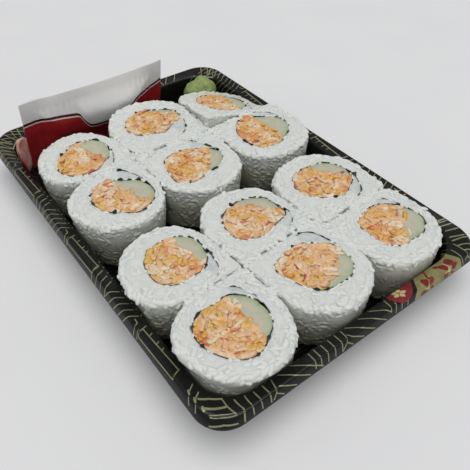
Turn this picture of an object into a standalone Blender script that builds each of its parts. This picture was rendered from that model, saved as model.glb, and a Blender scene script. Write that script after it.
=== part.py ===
"""Takeaway tray of twelve inside-out sushi rolls with a sauce sachet, wasabi and pickled ginger.

Sizes are in millimetres and become metres where the meshes are made. X runs across the tray,
+Y away along its long side and +Z up. The tray stands on the XY plane, centred on the origin.
"""

import math
import random
from collections import namedtuple

import bmesh
import bpy
from mathutils import Matrix, Vector, noise

MM = 0.001
GAP = 0.3  # kept between neighbouring pieces

# The thermoformed tray
TRAY_WIDTH = 145.0
TRAY_LENGTH = 210.6
TRAY_CORNER = 12.5  # radius of a corner at the outer lip
CORNER_GROWTH = 0.5  # how much wider the corner turns for each millimetre inwards
CORNER_STEPS = 6
LIP_HEIGHT = 18.0
CREST_HEIGHT = 21.5
CREST_INSET = 2.0
LEDGE_INSET = 7.0
LEDGE_HEIGHT = 19.5
WALL_TOP_INSET = 7.6
WALL_TOP_HEIGHT = 18.7
WALL_FOOT_INSET = 9.0
WALL_FOOT_HEIGHT = 3.2
FLOOR_INSET = 10.4
FLOOR_HEIGHT = 1.8
SHEET = 0.8
RIM_CLEAR = 3.0  # a roll may bulge over the rim from this far above it
FOOT_INSETS = (14.0, 15.0, 18.0, 19.0)  # the shallow groove that forms the foot under the floor

# The rolls
ROLL_FLOOR = FLOOR_HEIGHT + GAP
ROLL_SIDES = 32
# height above the roll's foot as a share of its height, and how far the edge is rounded in there
ROLL_LEVELS = ((0.0, 2.6), (0.07, 1.9), (0.3, 1.1), (0.53, 0.5), (0.77, 0.1), (0.95, 0.0), (1.0, 0.9))
NEIGHBOUR_REACH = 64.0  # rolls whose middles are nearer than this press on each other
# where the rice of neighbouring rolls has run together in the space between them
JUNCTIONS = ((-23.6, -56.6), (18.3, -56.1), (58.6, -57.6), (-21.2, 31.4), (22.0, 32.4), (64.0, 32.0))
JUNCTION_REACH = 33.0
JUNCTION_TURN = 20.0  # degrees to each side of a junction in which the rice reaches out to it
FREE_RELIEF = 0.9  # how deep the grains dimple the rice where it stands free
PRESSED_RELIEF = 0.25
LEVEL_WANDER = 0.8
NORI = 0.6
LAP_START = 12.0  # degrees, where the inner end of the seaweed lies
LAP_STEP = 1.1  # how far the outer lap has moved out when it passes that end
CRESCENT_SPAN = 90.0  # degrees of rice between the two laps
CRESCENT_CLOSED = 24.0  # degrees past the inner end before rice fits between the laps
NORI_STEP = 18.0
CRAB_RELIEF = (-0.6, 1.3)

Roll = namedtuple(
    "Roll",
    "number x y radius height ring_x ring_y avocado_angle avocado_reach"
    " crescent tail_end tail_flare mirrored tilt_x tilt_y",
)
# Rows run from the far end to the near end. Angles are as seen from above, in degrees.
ROLLS = (
    Roll(1, 43.5, 51.9, 22.4, 24.0, 45.8, 52.4, -10, 4.0, 1.2, 70, 2.0, True, -0.26, -0.14),
    Roll(2, 1.0, 53.9, 23.7, 26.3, 2.0, 55.4, 40, 7.6, 3.2, 70, 5.2, True, 0.0, 0.0),
    Roll(4, -42.3, 49.9, 20.9, 25.6, -42.5, 49.6, 14, 5.0, 1.4, 62, 2.2, True, 0.0, 0.0),
    Roll(3, 44.0, 12.4, 22.5, 26.0, 44.5, 13.6, 0, 2.5, 2.8, 70, 0.9, False, 0.0, 0.0),
    Roll(5, -0.5, 11.4, 22.3, 25.8, 0.0, 11.6, -32, 6.5, 1.6, 68, 5.0, False, 0.0, 0.0),
    Roll(6, -43.0, 10.9, 21.5, 26.2, -40.8, 9.6, 15, 3.5, 2.6, 70, 4.2, False, 0.0, 0.0),
    Roll(7, 38.5, -37.1, 22.6, 26.1, 40.0, -36.1, 34, 5.6, 1.4, 76, 3.4, True, 0.0, 0.0),
    Roll(8, -4.8, -36.1, 21.0, 26.4, -3.2, -36.6, 42, 6.2, 3.6, 60, 1.6, True, 0.0, 0.0),
    Roll(10, -45.0, -38.1, 21.5, 25.7, -42.6, -37.4, 10, 5.6, 1.8, 64, 3.9, True, 0.0, 0.0),
    Roll(9, 40.5, -76.1, 21.5, 25.9, 42.8, -74.2, -31, 5.0, 1.2, 64, 1.4, False, 0.0, 0.0),
    Roll(11, -1.0, -75.1, 22.0, 26.2, 0.0, -73.6, -55, 7.0, 4.2, 76, 1.6, False, 0.0, 0.0),
    Roll(12, -43.7, -77.6, 22.2, 25.8, -44.0, -78.2, 0, 6.0, 2.0, 60, 1.2, False, 0.0, 0.0),
)
# How far the seaweed lies from its ring's middle, every 30 degrees anticlockwise from +X
RINGS = {
    1: (12.9, 13.9, 14.4, 14.5, 14.5, 14.6, 14.6, 14.6, 14.6, 14.7, 15.0, 14.1),
    2: (14.4, 12.2, 10.9, 11.9, 12.9, 14.0, 15.6, 15.3, 13.1, 13.7, 14.3, 15.3),
    3: (13.5, 15.1, 15.5, 15.1, 15.0, 14.3, 14.6, 15.7, 15.8, 13.9, 12.6, 13.2),
    4: (13.9, 14.8, 13.3, 11.1, 9.4, 10.6, 12.4, 15.5, 15.9, 15.5, 15.1, 14.7),
    5: (14.1, 13.6, 12.8, 12.1, 14.1, 15.3, 15.1, 17.5, 14.5, 10.2, 11.6, 12.9),
    6: (12.8, 13.8, 14.1, 14.0, 14.6, 14.7, 13.1, 12.2, 11.5, 13.9, 14.3, 14.1),
    7: (13.5, 13.5, 12.9, 11.5, 13.3, 14.7, 15.4, 14.0, 13.3, 13.7, 14.0, 14.4),
    8: (12.6, 13.7, 12.5, 11.8, 12.0, 13.0, 13.8, 14.9, 13.1, 12.4, 14.7, 16.0),
    9: (12.5, 12.4, 13.0, 11.7, 12.1, 14.1, 12.9, 14.6, 14.7, 13.3, 14.6, 14.7),
    10: (11.8, 13.1, 13.0, 12.1, 12.5, 12.9, 12.9, 14.2, 13.6, 12.1, 14.4, 13.3),
    11: (13.1, 14.2, 15.9, 13.5, 13.5, 16.8, 13.8, 13.1, 13.5, 13.0, 14.4, 14.6),
    12: (13.6, 15.7, 16.9, 13.3, 14.5, 15.2, 13.9, 13.2, 13.7, 14.1, 12.8, 13.5),
}

# The sachet, which stands on its lower seal behind the far rolls and leans over them
SACHET_WIDTH = 82.0
SACHET_HEIGHT = 44.6
SACHET_CENTRE_X = -16.0
SACHET_FOOT_Y = 90.0
SACHET_TOP_Y = 81.4
SACHET_SEAL = 6.0
SACHET_EDGE = 0.5  # half the thickness of the seal
SACHET_BULGE = 2.9
SACHET_SWELL = 14.0  # how far in from the seal the bulge reaches its full depth
SACHET_COLUMNS = 12
SACHET_ROWS = 8
SACHET_WAVE = 0.7

# Wasabi and ginger in the far corners
WASABI_CENTRE = (51.0, 83.0, 13.8)
WASABI_HALF_SIZE = (10.8, 9.1, 11.7)
GINGER_TURN = (142.0, 36.0)  # degrees round the corner: the middle, and how far it goes to each side
GINGER_DEPTH = 1.25  # half its thickness against the tray's wall
GINGER_HEIGHT = (12.6, 10.2)  # the middle, and how far it goes up and down
GINGER_PLEATS = 5

# colour, roughness
PLASTIC_BLACK = ((0.008, 0.009, 0.007), 0.25)
RICE_WHITE = ((0.62, 0.64, 0.58), 0.45)
NORI_GREEN = ((0.010, 0.016, 0.010), 0.6)
CRAB_PEACH = ((0.75, 0.40, 0.20), 0.5)
AVOCADO_GREEN = ((0.50, 0.56, 0.30), 0.45)
SACHET_RED = ((0.15, 0.012, 0.010), 0.25)
WASABI_GREEN = ((0.25, 0.36, 0.10), 0.6)
GINGER_PINK = ((0.62, 0.32, 0.26), 0.35)


def clear_scene():
    for old in list(bpy.data.objects):
        bpy.data.objects.remove(old, do_unlink=True)


def make_material(name, look):
    colour, roughness = look
    material = bpy.data.materials.new(name)
    material.use_nodes = True
    shader = material.node_tree.nodes["Principled BSDF"]
    shader.inputs["Base Color"].default_value = (*colour, 1.0)
    shader.inputs["Roughness"].default_value = roughness
    material.diffuse_color = (*colour, 1.0)
    return material


def add_object(name, bm, material=None, smooth=False):
    """Turns a mesh in millimetres into a scene object in metres."""
    bmesh.ops.recalc_face_normals(bm, faces=bm.faces)
    if bm.calc_volume(signed=True) < 0:
        bmesh.ops.reverse_faces(bm, faces=bm.faces)
    bm.transform(Matrix.Scale(MM, 4))
    mesh = bpy.data.meshes.new(name)
    bm.to_mesh(mesh)
    bm.free()
    made = bpy.data.objects.new(name, mesh)
    bpy.context.scene.collection.objects.link(made)
    if material:
        mesh.materials.append(material)
    if smooth:
        mesh.shade_smooth()
        mesh.set_sharp_from_angle(angle=math.radians(35))
    return made


def bridge(bm, lower, upper):
    """Side faces between two closed rings of equally many points."""
    count = len(lower)
    for i in range(count):
        j = (i + 1) % count
        bm.faces.new((lower[i], lower[j], upper[j], upper[i]))


def smooth_step(value):
    value = min(max(value, 0.0), 1.0)
    return value * value * (3.0 - 2.0 * value)


# The tray


def corner_radius(inset):
    return TRAY_CORNER + CORNER_GROWTH * inset


def rounded_rectangle(inset):
    """Points round the tray at one inset from its outer lip, anticlockwise."""
    half_x = TRAY_WIDTH / 2 - inset
    half_y = TRAY_LENGTH / 2 - inset
    corner = corner_radius(inset)
    points = []
    for quarter, (sign_x, sign_y) in enumerate(((1, 1), (-1, 1), (-1, -1), (1, -1))):
        centre_x = sign_x * (half_x - corner)
        centre_y = sign_y * (half_y - corner)
        for step in range(CORNER_STEPS + 1):
            angle = math.radians(90 * quarter + 90 * step / CORNER_STEPS)
            points.append((centre_x + corner * math.cos(angle), centre_y + corner * math.sin(angle)))
    return points


def tray_profile():
    """Inset and height, from the middle of the floor out to the lip and back underneath."""
    first, second, third, fourth = FOOT_INSETS
    lower_floor = FLOOR_HEIGHT - SHEET
    upper = (
        (fourth, FLOOR_HEIGHT),
        (third, lower_floor),
        (second, lower_floor),
        (first, FLOOR_HEIGHT),
        (FLOOR_INSET, FLOOR_HEIGHT),
        (WALL_FOOT_INSET, WALL_FOOT_HEIGHT),
        (WALL_TOP_INSET, WALL_TOP_HEIGHT),
        (LEDGE_INSET, LEDGE_HEIGHT),
        (CREST_INSET + 0.8, CREST_HEIGHT - 0.1),
        (CREST_INSET, CREST_HEIGHT),
        (CREST_INSET - 0.7, CREST_HEIGHT - 0.6),
        (0.0, LIP_HEIGHT),
    )
    under = (
        (0.0, LIP_HEIGHT - SHEET),
        (SHEET, LIP_HEIGHT - SHEET),
        (CREST_INSET + 0.1, CREST_HEIGHT - SHEET - 0.3),
        (CREST_INSET + 0.9, CREST_HEIGHT - SHEET - 0.2),
        (LEDGE_INSET - 0.5, LEDGE_HEIGHT - SHEET - 0.1),
        (WALL_TOP_INSET - SHEET, WALL_TOP_HEIGHT - 0.6),
        (WALL_FOOT_INSET - SHEET, WALL_FOOT_HEIGHT - 0.3),
        (FLOOR_INSET - 0.3, lower_floor),
        (first - 0.3, lower_floor),
        (second - 0.4, 0.0),
        (third + 0.4, 0.0),
        (fourth + 0.3, lower_floor),
    )
    return upper + under


def build_tray(material):
    bm = bmesh.new()
    rings = []
    for inset, height in tray_profile():
        rings.append([bm.verts.new((x, y, height)) for x, y in rounded_rectangle(inset)])
    for lower, upper in zip(rings, rings[1:]):
        bridge(bm, lower, upper)
    bm.faces.new(rings[0])
    bm.faces.new(rings[-1][::-1])
    add_object("tray", bm, material, smooth=True)


# The rolls


def wall_inset(height):
    """Inset of the tray's inner wall at a height, or None above the rim."""
    if height > CREST_HEIGHT + RIM_CLEAR:
        return None
    if height > WALL_TOP_HEIGHT:
        return WALL_TOP_INSET
    if height < WALL_FOOT_HEIGHT:
        share = (WALL_FOOT_HEIGHT - height) / (WALL_FOOT_HEIGHT - FLOOR_HEIGHT)
        return WALL_FOOT_INSET + share * (FLOOR_INSET - WALL_FOOT_INSET)
    share = (height - WALL_FOOT_HEIGHT) / (WALL_TOP_HEIGHT - WALL_FOOT_HEIGHT)
    return WALL_FOOT_INSET + share * (WALL_TOP_INSET - WALL_FOOT_INSET)


def soft_minimum(values, sharpness=2.5):
    smallest = min(values)
    total = sum(math.exp(-sharpness * (value - smallest)) for value in values)
    return smallest - math.log(total) / sharpness


def free_radius(roll, angle):
    """How far a roll's rice reaches where nothing holds it in."""
    wave = 0.35 * math.sin(3 * angle + roll.number) + 0.3 * math.sin(5 * angle + 2.1 * roll.number)
    radius = roll.radius + FREE_RELIEF / 2 + wave
    for x, y in JUNCTIONS:
        across = x - roll.x
        along = y - roll.y
        distance = math.hypot(across, along)
        if distance < JUNCTION_REACH:
            turn = math.degrees(angle - math.atan2(along, across))
            turn = (turn + 180) % 360 - 180
            radius += (distance + 1 - roll.radius) * math.exp(-((turn / JUNCTION_TURN) ** 2))
    return radius


def neighbour_limits(roll, angle):
    """How far a roll may reach in a direction before it meets each of its neighbours."""
    limits = []
    for other in ROLLS:
        across = other.x - roll.x
        along = other.y - roll.y
        distance = math.hypot(across, along)
        if other is roll or distance > NEIGHBOUR_REACH:
            continue
        facing = math.cos(angle - math.atan2(along, across))
        share = (distance**2 + roll.radius**2 - other.radius**2) / (2 * distance)
        if facing > 0.05:
            limits.append((share - GAP * 0.6) / facing)
    return limits


def wall_limits(roll, angle, height):
    """How far a roll may reach in a direction before it meets the tray's walls and corners."""
    inset = wall_inset(height)
    if inset is None:
        return []
    limits = []
    room_x = TRAY_WIDTH / 2 - inset - GAP
    room_y = TRAY_LENGTH / 2 - inset - GAP
    go_x = math.cos(angle)
    go_y = math.sin(angle)
    for facing, room in (
        (go_x, room_x - roll.x), (-go_x, room_x + roll.x), (go_y, room_y - roll.y), (-go_y, room_y + roll.y)
    ):
        if facing > 0.05:
            limits.append(room / facing)
    corner = corner_radius(inset) - GAP
    for sign_x, sign_y in ((1, 1), (-1, 1), (-1, -1), (1, -1)):
        away_x = roll.x - sign_x * (room_x - corner)
        away_y = roll.y - sign_y * (room_y - corner)
        slant = go_x * away_x + go_y * away_y
        inner = slant**2 - away_x**2 - away_y**2 + corner**2
        if inner < 0:
            continue
        reach = math.sqrt(inner) - slant
        if sign_x * (away_x + reach * go_x) > 0 and sign_y * (away_y + reach * go_y) > 0:
            limits.append(reach)
    return limits


def outline_radius(roll, angle, height):
    """Distance from a roll's middle to its rice edge, pressed flat against neighbours and walls."""
    limits = [free_radius(roll, angle)]
    limits += neighbour_limits(roll, angle)
    limits += wall_limits(roll, angle, height)
    return soft_minimum(limits)


def pressed_share(roll, angle, height):
    """1 where neighbours or walls hold a roll's rice in, 0 where it stands free."""
    limits = neighbour_limits(roll, angle) + wall_limits(roll, angle, height)
    room = min(limits, default=100.0) - free_radius(roll, angle)
    return smooth_step(0.5 - room / 3)


def cut_height(roll, x, y):
    """Height of the cut face, which slopes on a roll that leans."""
    return ROLL_FLOOR + roll.height + roll.tilt_x * (x - roll.x) + roll.tilt_y * (y - roll.y)


def build_rice_body(roll):
    """The rice out to its uneven outline, before the filling's hole."""
    draw = random.Random(100 + roll.number)
    bm = bmesh.new()
    rings = []
    last = len(ROLL_LEVELS) - 1
    for level, (share, rounding) in enumerate(ROLL_LEVELS):
        ring = []
        for side in range(ROLL_SIDES):
            turn = side + 0.5 * (level % 2) + draw.uniform(-0.2, 0.2)
            angle = 2 * math.pi * turn / ROLL_SIDES
            wander = 0.0 if level in (0, last) else draw.uniform(-LEVEL_WANDER, LEVEL_WANDER)
            height = ROLL_FLOOR + share * roll.height + wander
            slope = roll.tilt_x * math.cos(angle) + roll.tilt_y * math.sin(angle)
            edge_height = height + share * slope * free_radius(roll, angle)
            radius = outline_radius(roll, angle, edge_height)
            pressed = pressed_share(roll, angle, edge_height)
            relief = FREE_RELIEF + pressed * (PRESSED_RELIEF - FREE_RELIEF)
            radius -= rounding * (1 - 0.85 * pressed) + draw.uniform(0.0, relief)
            place = (roll.x + radius * math.cos(angle), roll.y + radius * math.sin(angle))
            ring.append(bm.verts.new((*place, height + share * slope * radius)))
        rings.append(ring)
    for lower, upper in zip(rings, rings[1:]):
        bridge(bm, lower, upper)
    bm.faces.new(rings[0][::-1])
    bm.faces.new(rings[-1])
    return bm


def ring_radius(roll, degrees):
    """The ring's radius in a direction, smooth between the values of its table."""
    radii = RINGS[roll.number]
    first = math.floor(degrees / 30)
    share = degrees / 30 - first
    before, here, after, beyond = (radii[(first + step) % 12] for step in (-1, 0, 1, 2))
    bend = 2 * before - 5 * here + 4 * after - beyond
    twist = 3 * (here - after) + beyond - before
    return here + share / 2 * (after - before + share * (bend + share * twist))


def lap_radius(roll, degrees):
    """Distance of the seaweed from the ring's middle. Past a full turn it is the outer lap."""
    radius = ring_radius(roll, -degrees if roll.mirrored else degrees)
    inner_share = (degrees - LAP_START) / CRESCENT_SPAN
    if inner_share < 1:
        radius -= roll.crescent * math.sin(math.pi * inner_share) ** 2
    passing = 360 + LAP_START
    radius += LAP_STEP * smooth_step((degrees - passing + 70) / 70)
    radius += roll.tail_flare * smooth_step((degrees - passing - 15) / 45)
    return radius


def ring_point(roll, degrees, outward):
    """A point of the seaweed's path, moved outward from its middle line."""
    angle = math.radians(degrees)
    radius = lap_radius(roll, degrees) + outward
    side = -1 if roll.mirrored else 1
    return (roll.ring_x + radius * math.cos(angle), roll.ring_y + side * radius * math.sin(angle))


def spread(first, last, step):
    """Angles from first to last, both included, about one step apart."""
    count = max(1, round((last - first) / step))
    return [first + (last - first) * i / count for i in range(count + 1)]


def nori_angles(roll):
    return spread(LAP_START, 360 + roll.tail_end, NORI_STEP)


def build_nori(roll):
    """The seaweed: one thin wall that winds once round the filling and ends in a tail."""
    bm = bmesh.new()
    rows = []
    for degrees in nori_angles(roll):
        inner = ring_point(roll, degrees, -NORI / 2)
        outer = ring_point(roll, degrees, NORI / 2)
        rows.append(
            [
                bm.verts.new((*inner, ROLL_FLOOR)),
                bm.verts.new((*outer, ROLL_FLOOR)),
                bm.verts.new((*outer, cut_height(roll, *outer))),
                bm.verts.new((*inner, cut_height(roll, *inner))),
            ]
        )
    for row, following in zip(rows, rows[1:]):
        bridge(bm, row, following)
    bm.faces.new(rows[0])
    bm.faces.new(rows[-1][::-1])
    return bm


def prism(outline, bottom, top):
    """A closed column over an outline. Both ends are heights given by a function of x and y."""
    bm = bmesh.new()
    low = [bm.verts.new((x, y, bottom(x, y))) for x, y in outline]
    high = [bm.verts.new((x, y, top(x, y))) for x, y in outline]
    bm.faces.new(low[::-1])
    bm.faces.new(high)
    bridge(bm, low, high)
    return bm


def build_hole(roll):
    """What is cut from the rice: the filling's space and the slot of the seaweed's tail."""
    clear = NORI / 2 + GAP
    closed = LAP_START + CRESCENT_CLOSED
    angles = nori_angles(roll)
    tip = [angles[-1] + 2]
    out = [ring_point(roll, degrees, clear) for degrees in angles + tip if degrees > closed]
    back = [ring_point(roll, degrees, -clear) for degrees in angles + tip if degrees > 360 + closed]
    outline = out + back[::-1]
    bm = prism(outline, lambda x, y: ROLL_FLOOR - 5, lambda x, y: ROLL_FLOOR + roll.height + 15)
    cutter = add_object(f"hole_{roll.number:02d}", bm)
    cutter.hide_render = True
    cutter.display_type = "WIRE"
    return cutter


def filling_outline(roll):
    """The inner face of the seaweed, anticlockwise, with the usual gap."""
    angles = [degrees for degrees in nori_angles(roll) if degrees < LAP_START + 342]
    points = [ring_point(roll, degrees, -NORI / 2 - GAP) for degrees in angles]
    return points[::-1] if roll.mirrored else points


def clip(outline, normal, offset):
    """The part of an outline on the low side of a line."""
    kept = []
    for i, (x, y) in enumerate(outline):
        next_x, next_y = outline[(i + 1) % len(outline)]
        here = x * normal[0] + y * normal[1] - offset
        there = next_x * normal[0] + next_y * normal[1] - offset
        if here <= 0:
            kept.append((x, y))
        if (here < 0) != (there < 0):
            share = here / (here - there)
            kept.append((x + share * (next_x - x), y + share * (next_y - y)))
    return kept


def fillings(roll):
    """Outlines of the crab and the avocado, which a straight cut divides."""
    angle = math.radians(roll.avocado_angle)
    normal = (math.cos(angle), math.sin(angle))
    offset = roll.ring_x * normal[0] + roll.ring_y * normal[1] + roll.avocado_reach
    outline = filling_outline(roll)
    crab = clip(outline, normal, offset - GAP / 2)
    avocado = clip(outline, (-normal[0], -normal[1]), -offset - GAP / 2)
    return crab, avocado


def build_crab(roll, outline):
    """Crab salad: a column whose top is lumpy with its flakes."""
    draw = random.Random(500 + roll.number)
    bm = bmesh.new()
    low = [bm.verts.new((x, y, ROLL_FLOOR)) for x, y in outline]
    rings = [low]
    middle_x = sum(x for x, y in outline) / len(outline)
    middle_y = sum(y for x, y in outline) / len(outline)
    for share in (1.0, 0.66, 0.33):
        ring = []
        for x, y in outline:
            shift = 0.0 if share == 1.0 else 0.7
            place_x = middle_x + share * (x - middle_x) + draw.uniform(-shift, shift)
            place_y = middle_y + share * (y - middle_y) + draw.uniform(-shift, shift)
            relief = draw.uniform(*CRAB_RELIEF) if shift else 0.0
            ring.append(bm.verts.new((place_x, place_y, cut_height(roll, place_x, place_y) + relief)))
        rings.append(ring)
    for lower, upper in zip(rings, rings[1:]):
        bridge(bm, lower, upper)
    bm.faces.new(low[::-1])
    peak = bm.verts.new((middle_x, middle_y, cut_height(roll, middle_x, middle_y) + 0.4))
    inner = rings[-1]
    for i in range(len(inner)):
        bm.faces.new((inner[i], inner[(i + 1) % len(inner)], peak))
    return bm


def build_roll(roll, materials):
    number = f"{roll.number:02d}"
    rice = add_object(f"rice_{number}", build_rice_body(roll), materials["rice"])
    cut = rice.modifiers.new("filling_hole", "BOOLEAN")
    cut.operation = "DIFFERENCE"
    cut.object = build_hole(roll)
    add_object(f"nori_{number}", build_nori(roll), materials["nori"])
    crab, avocado = fillings(roll)
    add_object(f"crab_{number}", build_crab(roll, crab), materials["crab"])
    column = prism(avocado, lambda x, y: ROLL_FLOOR, lambda x, y: cut_height(roll, x, y))
    add_object(f"avocado_{number}", column, materials["avocado"])


# The sachet


def sachet_point(across, up, face):
    """A point of the sachet's front (face -1) or back (face 1), from shares of its width and height."""
    x = SACHET_CENTRE_X + (across - 0.5) * SACHET_WIDTH
    edge = min(
        across * SACHET_WIDTH - SACHET_SEAL,
        (1 - across) * SACHET_WIDTH - SACHET_SEAL,
        up * SACHET_HEIGHT - SACHET_SEAL,
        (1 - up) * SACHET_HEIGHT - SACHET_SEAL,
    )
    half = SACHET_EDGE + SACHET_BULGE * smooth_step(edge / SACHET_SWELL)
    lean = SACHET_TOP_Y - SACHET_FOOT_Y
    rise = math.sqrt(SACHET_HEIGHT**2 - lean**2)
    wave = SACHET_WAVE * math.sin(2.3 * math.pi * across) * up
    return Vector((x, SACHET_FOOT_Y + lean * up + wave + face * half, ROLL_FLOOR + rise * up))


def build_sachet(material):
    bm = bmesh.new()
    faces = {}
    for face in (-1, 1):
        for i in range(SACHET_COLUMNS + 1):
            for j in range(SACHET_ROWS + 1):
                place = sachet_point(i / SACHET_COLUMNS, j / SACHET_ROWS, face)
                faces[face, i, j] = bm.verts.new(place)
    for face in (-1, 1):
        for i in range(SACHET_COLUMNS):
            for j in range(SACHET_ROWS):
                corners = ((i, j), (i + 1, j), (i + 1, j + 1), (i, j + 1))
                bm.faces.new([faces[face, a, b] for a, b in corners][:: -face])
    border = [(i, 0) for i in range(SACHET_COLUMNS)]
    border += [(SACHET_COLUMNS, j) for j in range(SACHET_ROWS)]
    border += [(i, SACHET_ROWS) for i in range(SACHET_COLUMNS, 0, -1)]
    border += [(0, j) for j in range(SACHET_ROWS, 0, -1)]
    bridge(bm, [faces[-1, i, j] for i, j in border], [faces[1, i, j] for i, j in border])
    add_object("sachet", bm, material, smooth=True)


# Wasabi and ginger


def build_wasabi(material):
    """A smooth lump, higher on its right, flattened where it rests."""
    bm = bmesh.new()
    bmesh.ops.create_icosphere(bm, subdivisions=3, radius=1.0)
    for vert in bm.verts:
        direction = vert.co.normalized()
        lump = 1 + 0.10 * noise.noise(direction * 1.7 + Vector((3.1, 0.4, 7.7)))
        peak = 1 + 0.12 * smooth_step(direction.x) * max(direction.z, 0)
        place = [c + h * d * lump for c, h, d in zip(WASABI_CENTRE, WASABI_HALF_SIZE, direction)]
        place[2] = WASABI_CENTRE[2] + (place[2] - WASABI_CENTRE[2]) * peak
        place[2] = max(place[2], ROLL_FLOOR)
        vert.co = place
    add_object("wasabi", bm, material, smooth=True)


def build_ginger(material):
    """A small pile of folded slices that lies against the wall of the far left corner."""
    bm = bmesh.new()
    bmesh.ops.create_icosphere(bm, subdivisions=3, radius=1.0)
    for vert in bm.verts:
        direction = vert.co.normalized()
        fold = math.sin(GINGER_PLEATS * (direction.x + 0.7 * direction.z) + 0.6)
        lump = 0.9 + 0.1 * fold
        turn = math.radians(GINGER_TURN[0] + GINGER_TURN[1] * direction.x * lump)
        height = max(GINGER_HEIGHT[0] + GINGER_HEIGHT[1] * direction.z * lump, ROLL_FLOOR)
        inset = wall_inset(height)
        corner = corner_radius(inset)
        away = corner - GAP - GINGER_DEPTH * (1 - direction.y * lump)
        middle_x = TRAY_WIDTH / 2 - inset - corner
        middle_y = TRAY_LENGTH / 2 - inset - corner
        vert.co = (-middle_x + away * math.cos(turn), middle_y + away * math.sin(turn), height)
    add_object("ginger", bm, material, smooth=True)


def main():
    clear_scene()
    build_tray(make_material("black_plastic", PLASTIC_BLACK))
    roll_materials = {
        "rice": make_material("rice", RICE_WHITE),
        "nori": make_material("nori", NORI_GREEN),
        "crab": make_material("crab", CRAB_PEACH),
        "avocado": make_material("avocado", AVOCADO_GREEN),
    }
    for roll in ROLLS:
        build_roll(roll, roll_materials)
    build_sachet(make_material("sachet_film", SACHET_RED))
    build_wasabi(make_material("wasabi", WASABI_GREEN))
    build_ginger(make_material("ginger", GINGER_PINK))


main()
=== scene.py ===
"""Looks of the takeaway sushi tray: grains, seaweed, fillings, printed rim, sachet and garnish.

Sizes are in millimetres and become metres where the meshes are made. X runs across the tray,
+Y away along its long side and +Z up, as in the frame.
"""

import math
import random
from collections import namedtuple

import bmesh
import bpy
import numpy as np
from mathutils import Matrix, Vector, geometry, noise


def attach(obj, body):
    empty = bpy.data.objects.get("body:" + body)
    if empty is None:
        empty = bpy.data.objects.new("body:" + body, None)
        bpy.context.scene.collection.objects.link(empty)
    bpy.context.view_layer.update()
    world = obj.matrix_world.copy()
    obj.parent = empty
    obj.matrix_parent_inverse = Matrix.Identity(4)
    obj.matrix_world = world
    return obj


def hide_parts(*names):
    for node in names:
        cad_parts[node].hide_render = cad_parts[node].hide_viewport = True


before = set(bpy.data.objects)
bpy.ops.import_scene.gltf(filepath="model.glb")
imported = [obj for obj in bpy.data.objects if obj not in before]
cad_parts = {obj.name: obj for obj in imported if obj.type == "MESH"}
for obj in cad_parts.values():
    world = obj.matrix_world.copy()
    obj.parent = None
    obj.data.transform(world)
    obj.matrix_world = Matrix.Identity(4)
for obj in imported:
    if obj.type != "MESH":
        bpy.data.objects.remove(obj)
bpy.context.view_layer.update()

MM = 0.001
GAP = 0.3

# The camera, worked out from the tray's four edges in the photograph
CAMERA_PLACE = (-113.53, -169.38, 184.3)
CAMERA_AZIMUTH = math.radians(-37.297)
CAMERA_ELEVATION = math.radians(44.087)
CAMERA_ROLL = math.radians(0.229)
CAMERA_LENS = 41.165
CAMERA_SENSOR = 36.0

# The tray
TRAY_WIDTH = 145.0
TRAY_LENGTH = 210.6
TRAY_CORNER = 12.5
CORNER_GROWTH = 0.5
CORNER_STEPS = 14
SIDE_STEPS = 14
LIP_HEIGHT = 18.0
CREST_HEIGHT = 21.5
CREST_INSET = 2.0
LEDGE_INSET = 7.0
LEDGE_HEIGHT = 19.5
WALL_TOP_INSET = 7.6
WALL_TOP_HEIGHT = 18.7
WALL_FOOT_INSET = 9.0
WALL_FOOT_HEIGHT = 3.2
FLOOR_INSET = 10.4
FLOOR_HEIGHT = 1.8
SHEET = 0.8
RIM_CLEAR = 3.0
OVER_RIM = 30.0  # a height at which only its neighbours hold a roll in
FOOT_INSETS = (14.0, 15.0, 18.0, 19.0)
PROFILE_ROUNDS = 2  # how often the profile's corners are cut to smooth it
PRINT_REFERENCE_INSET = 4.5  # lengths along the print are true at this inset
PRINT_LIFT = 0.05

# The rolls, as the solids have them
ROLL_FLOOR = FLOOR_HEIGHT + GAP
# Height above the roll's foot as a share of its height, and how far the edge is rounded in there
ROLL_LEVELS = ((0.0, 2.6), (0.07, 1.9), (0.3, 1.1), (0.53, 0.5), (0.77, 0.1), (0.95, 0.0), (1.0, 0.9))
NEIGHBOUR_REACH = 64.0
JUNCTIONS = ((-23.6, -56.6), (18.3, -56.1), (58.6, -57.6), (-21.2, 31.4), (22.0, 32.4), (64.0, 32.0))
JUNCTION_REACH = 33.0
JUNCTION_TURN = 20.0
FREE_RELIEF = 0.9
NORI = 0.6
LAP_START = 12.0
LAP_STEP = 1.1
CRESCENT_SPAN = 90.0

Roll = namedtuple(
    "Roll",
    "number x y radius height ring_x ring_y avocado_angle avocado_reach"
    " crescent tail_end tail_flare mirrored tilt_x tilt_y",
)
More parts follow.
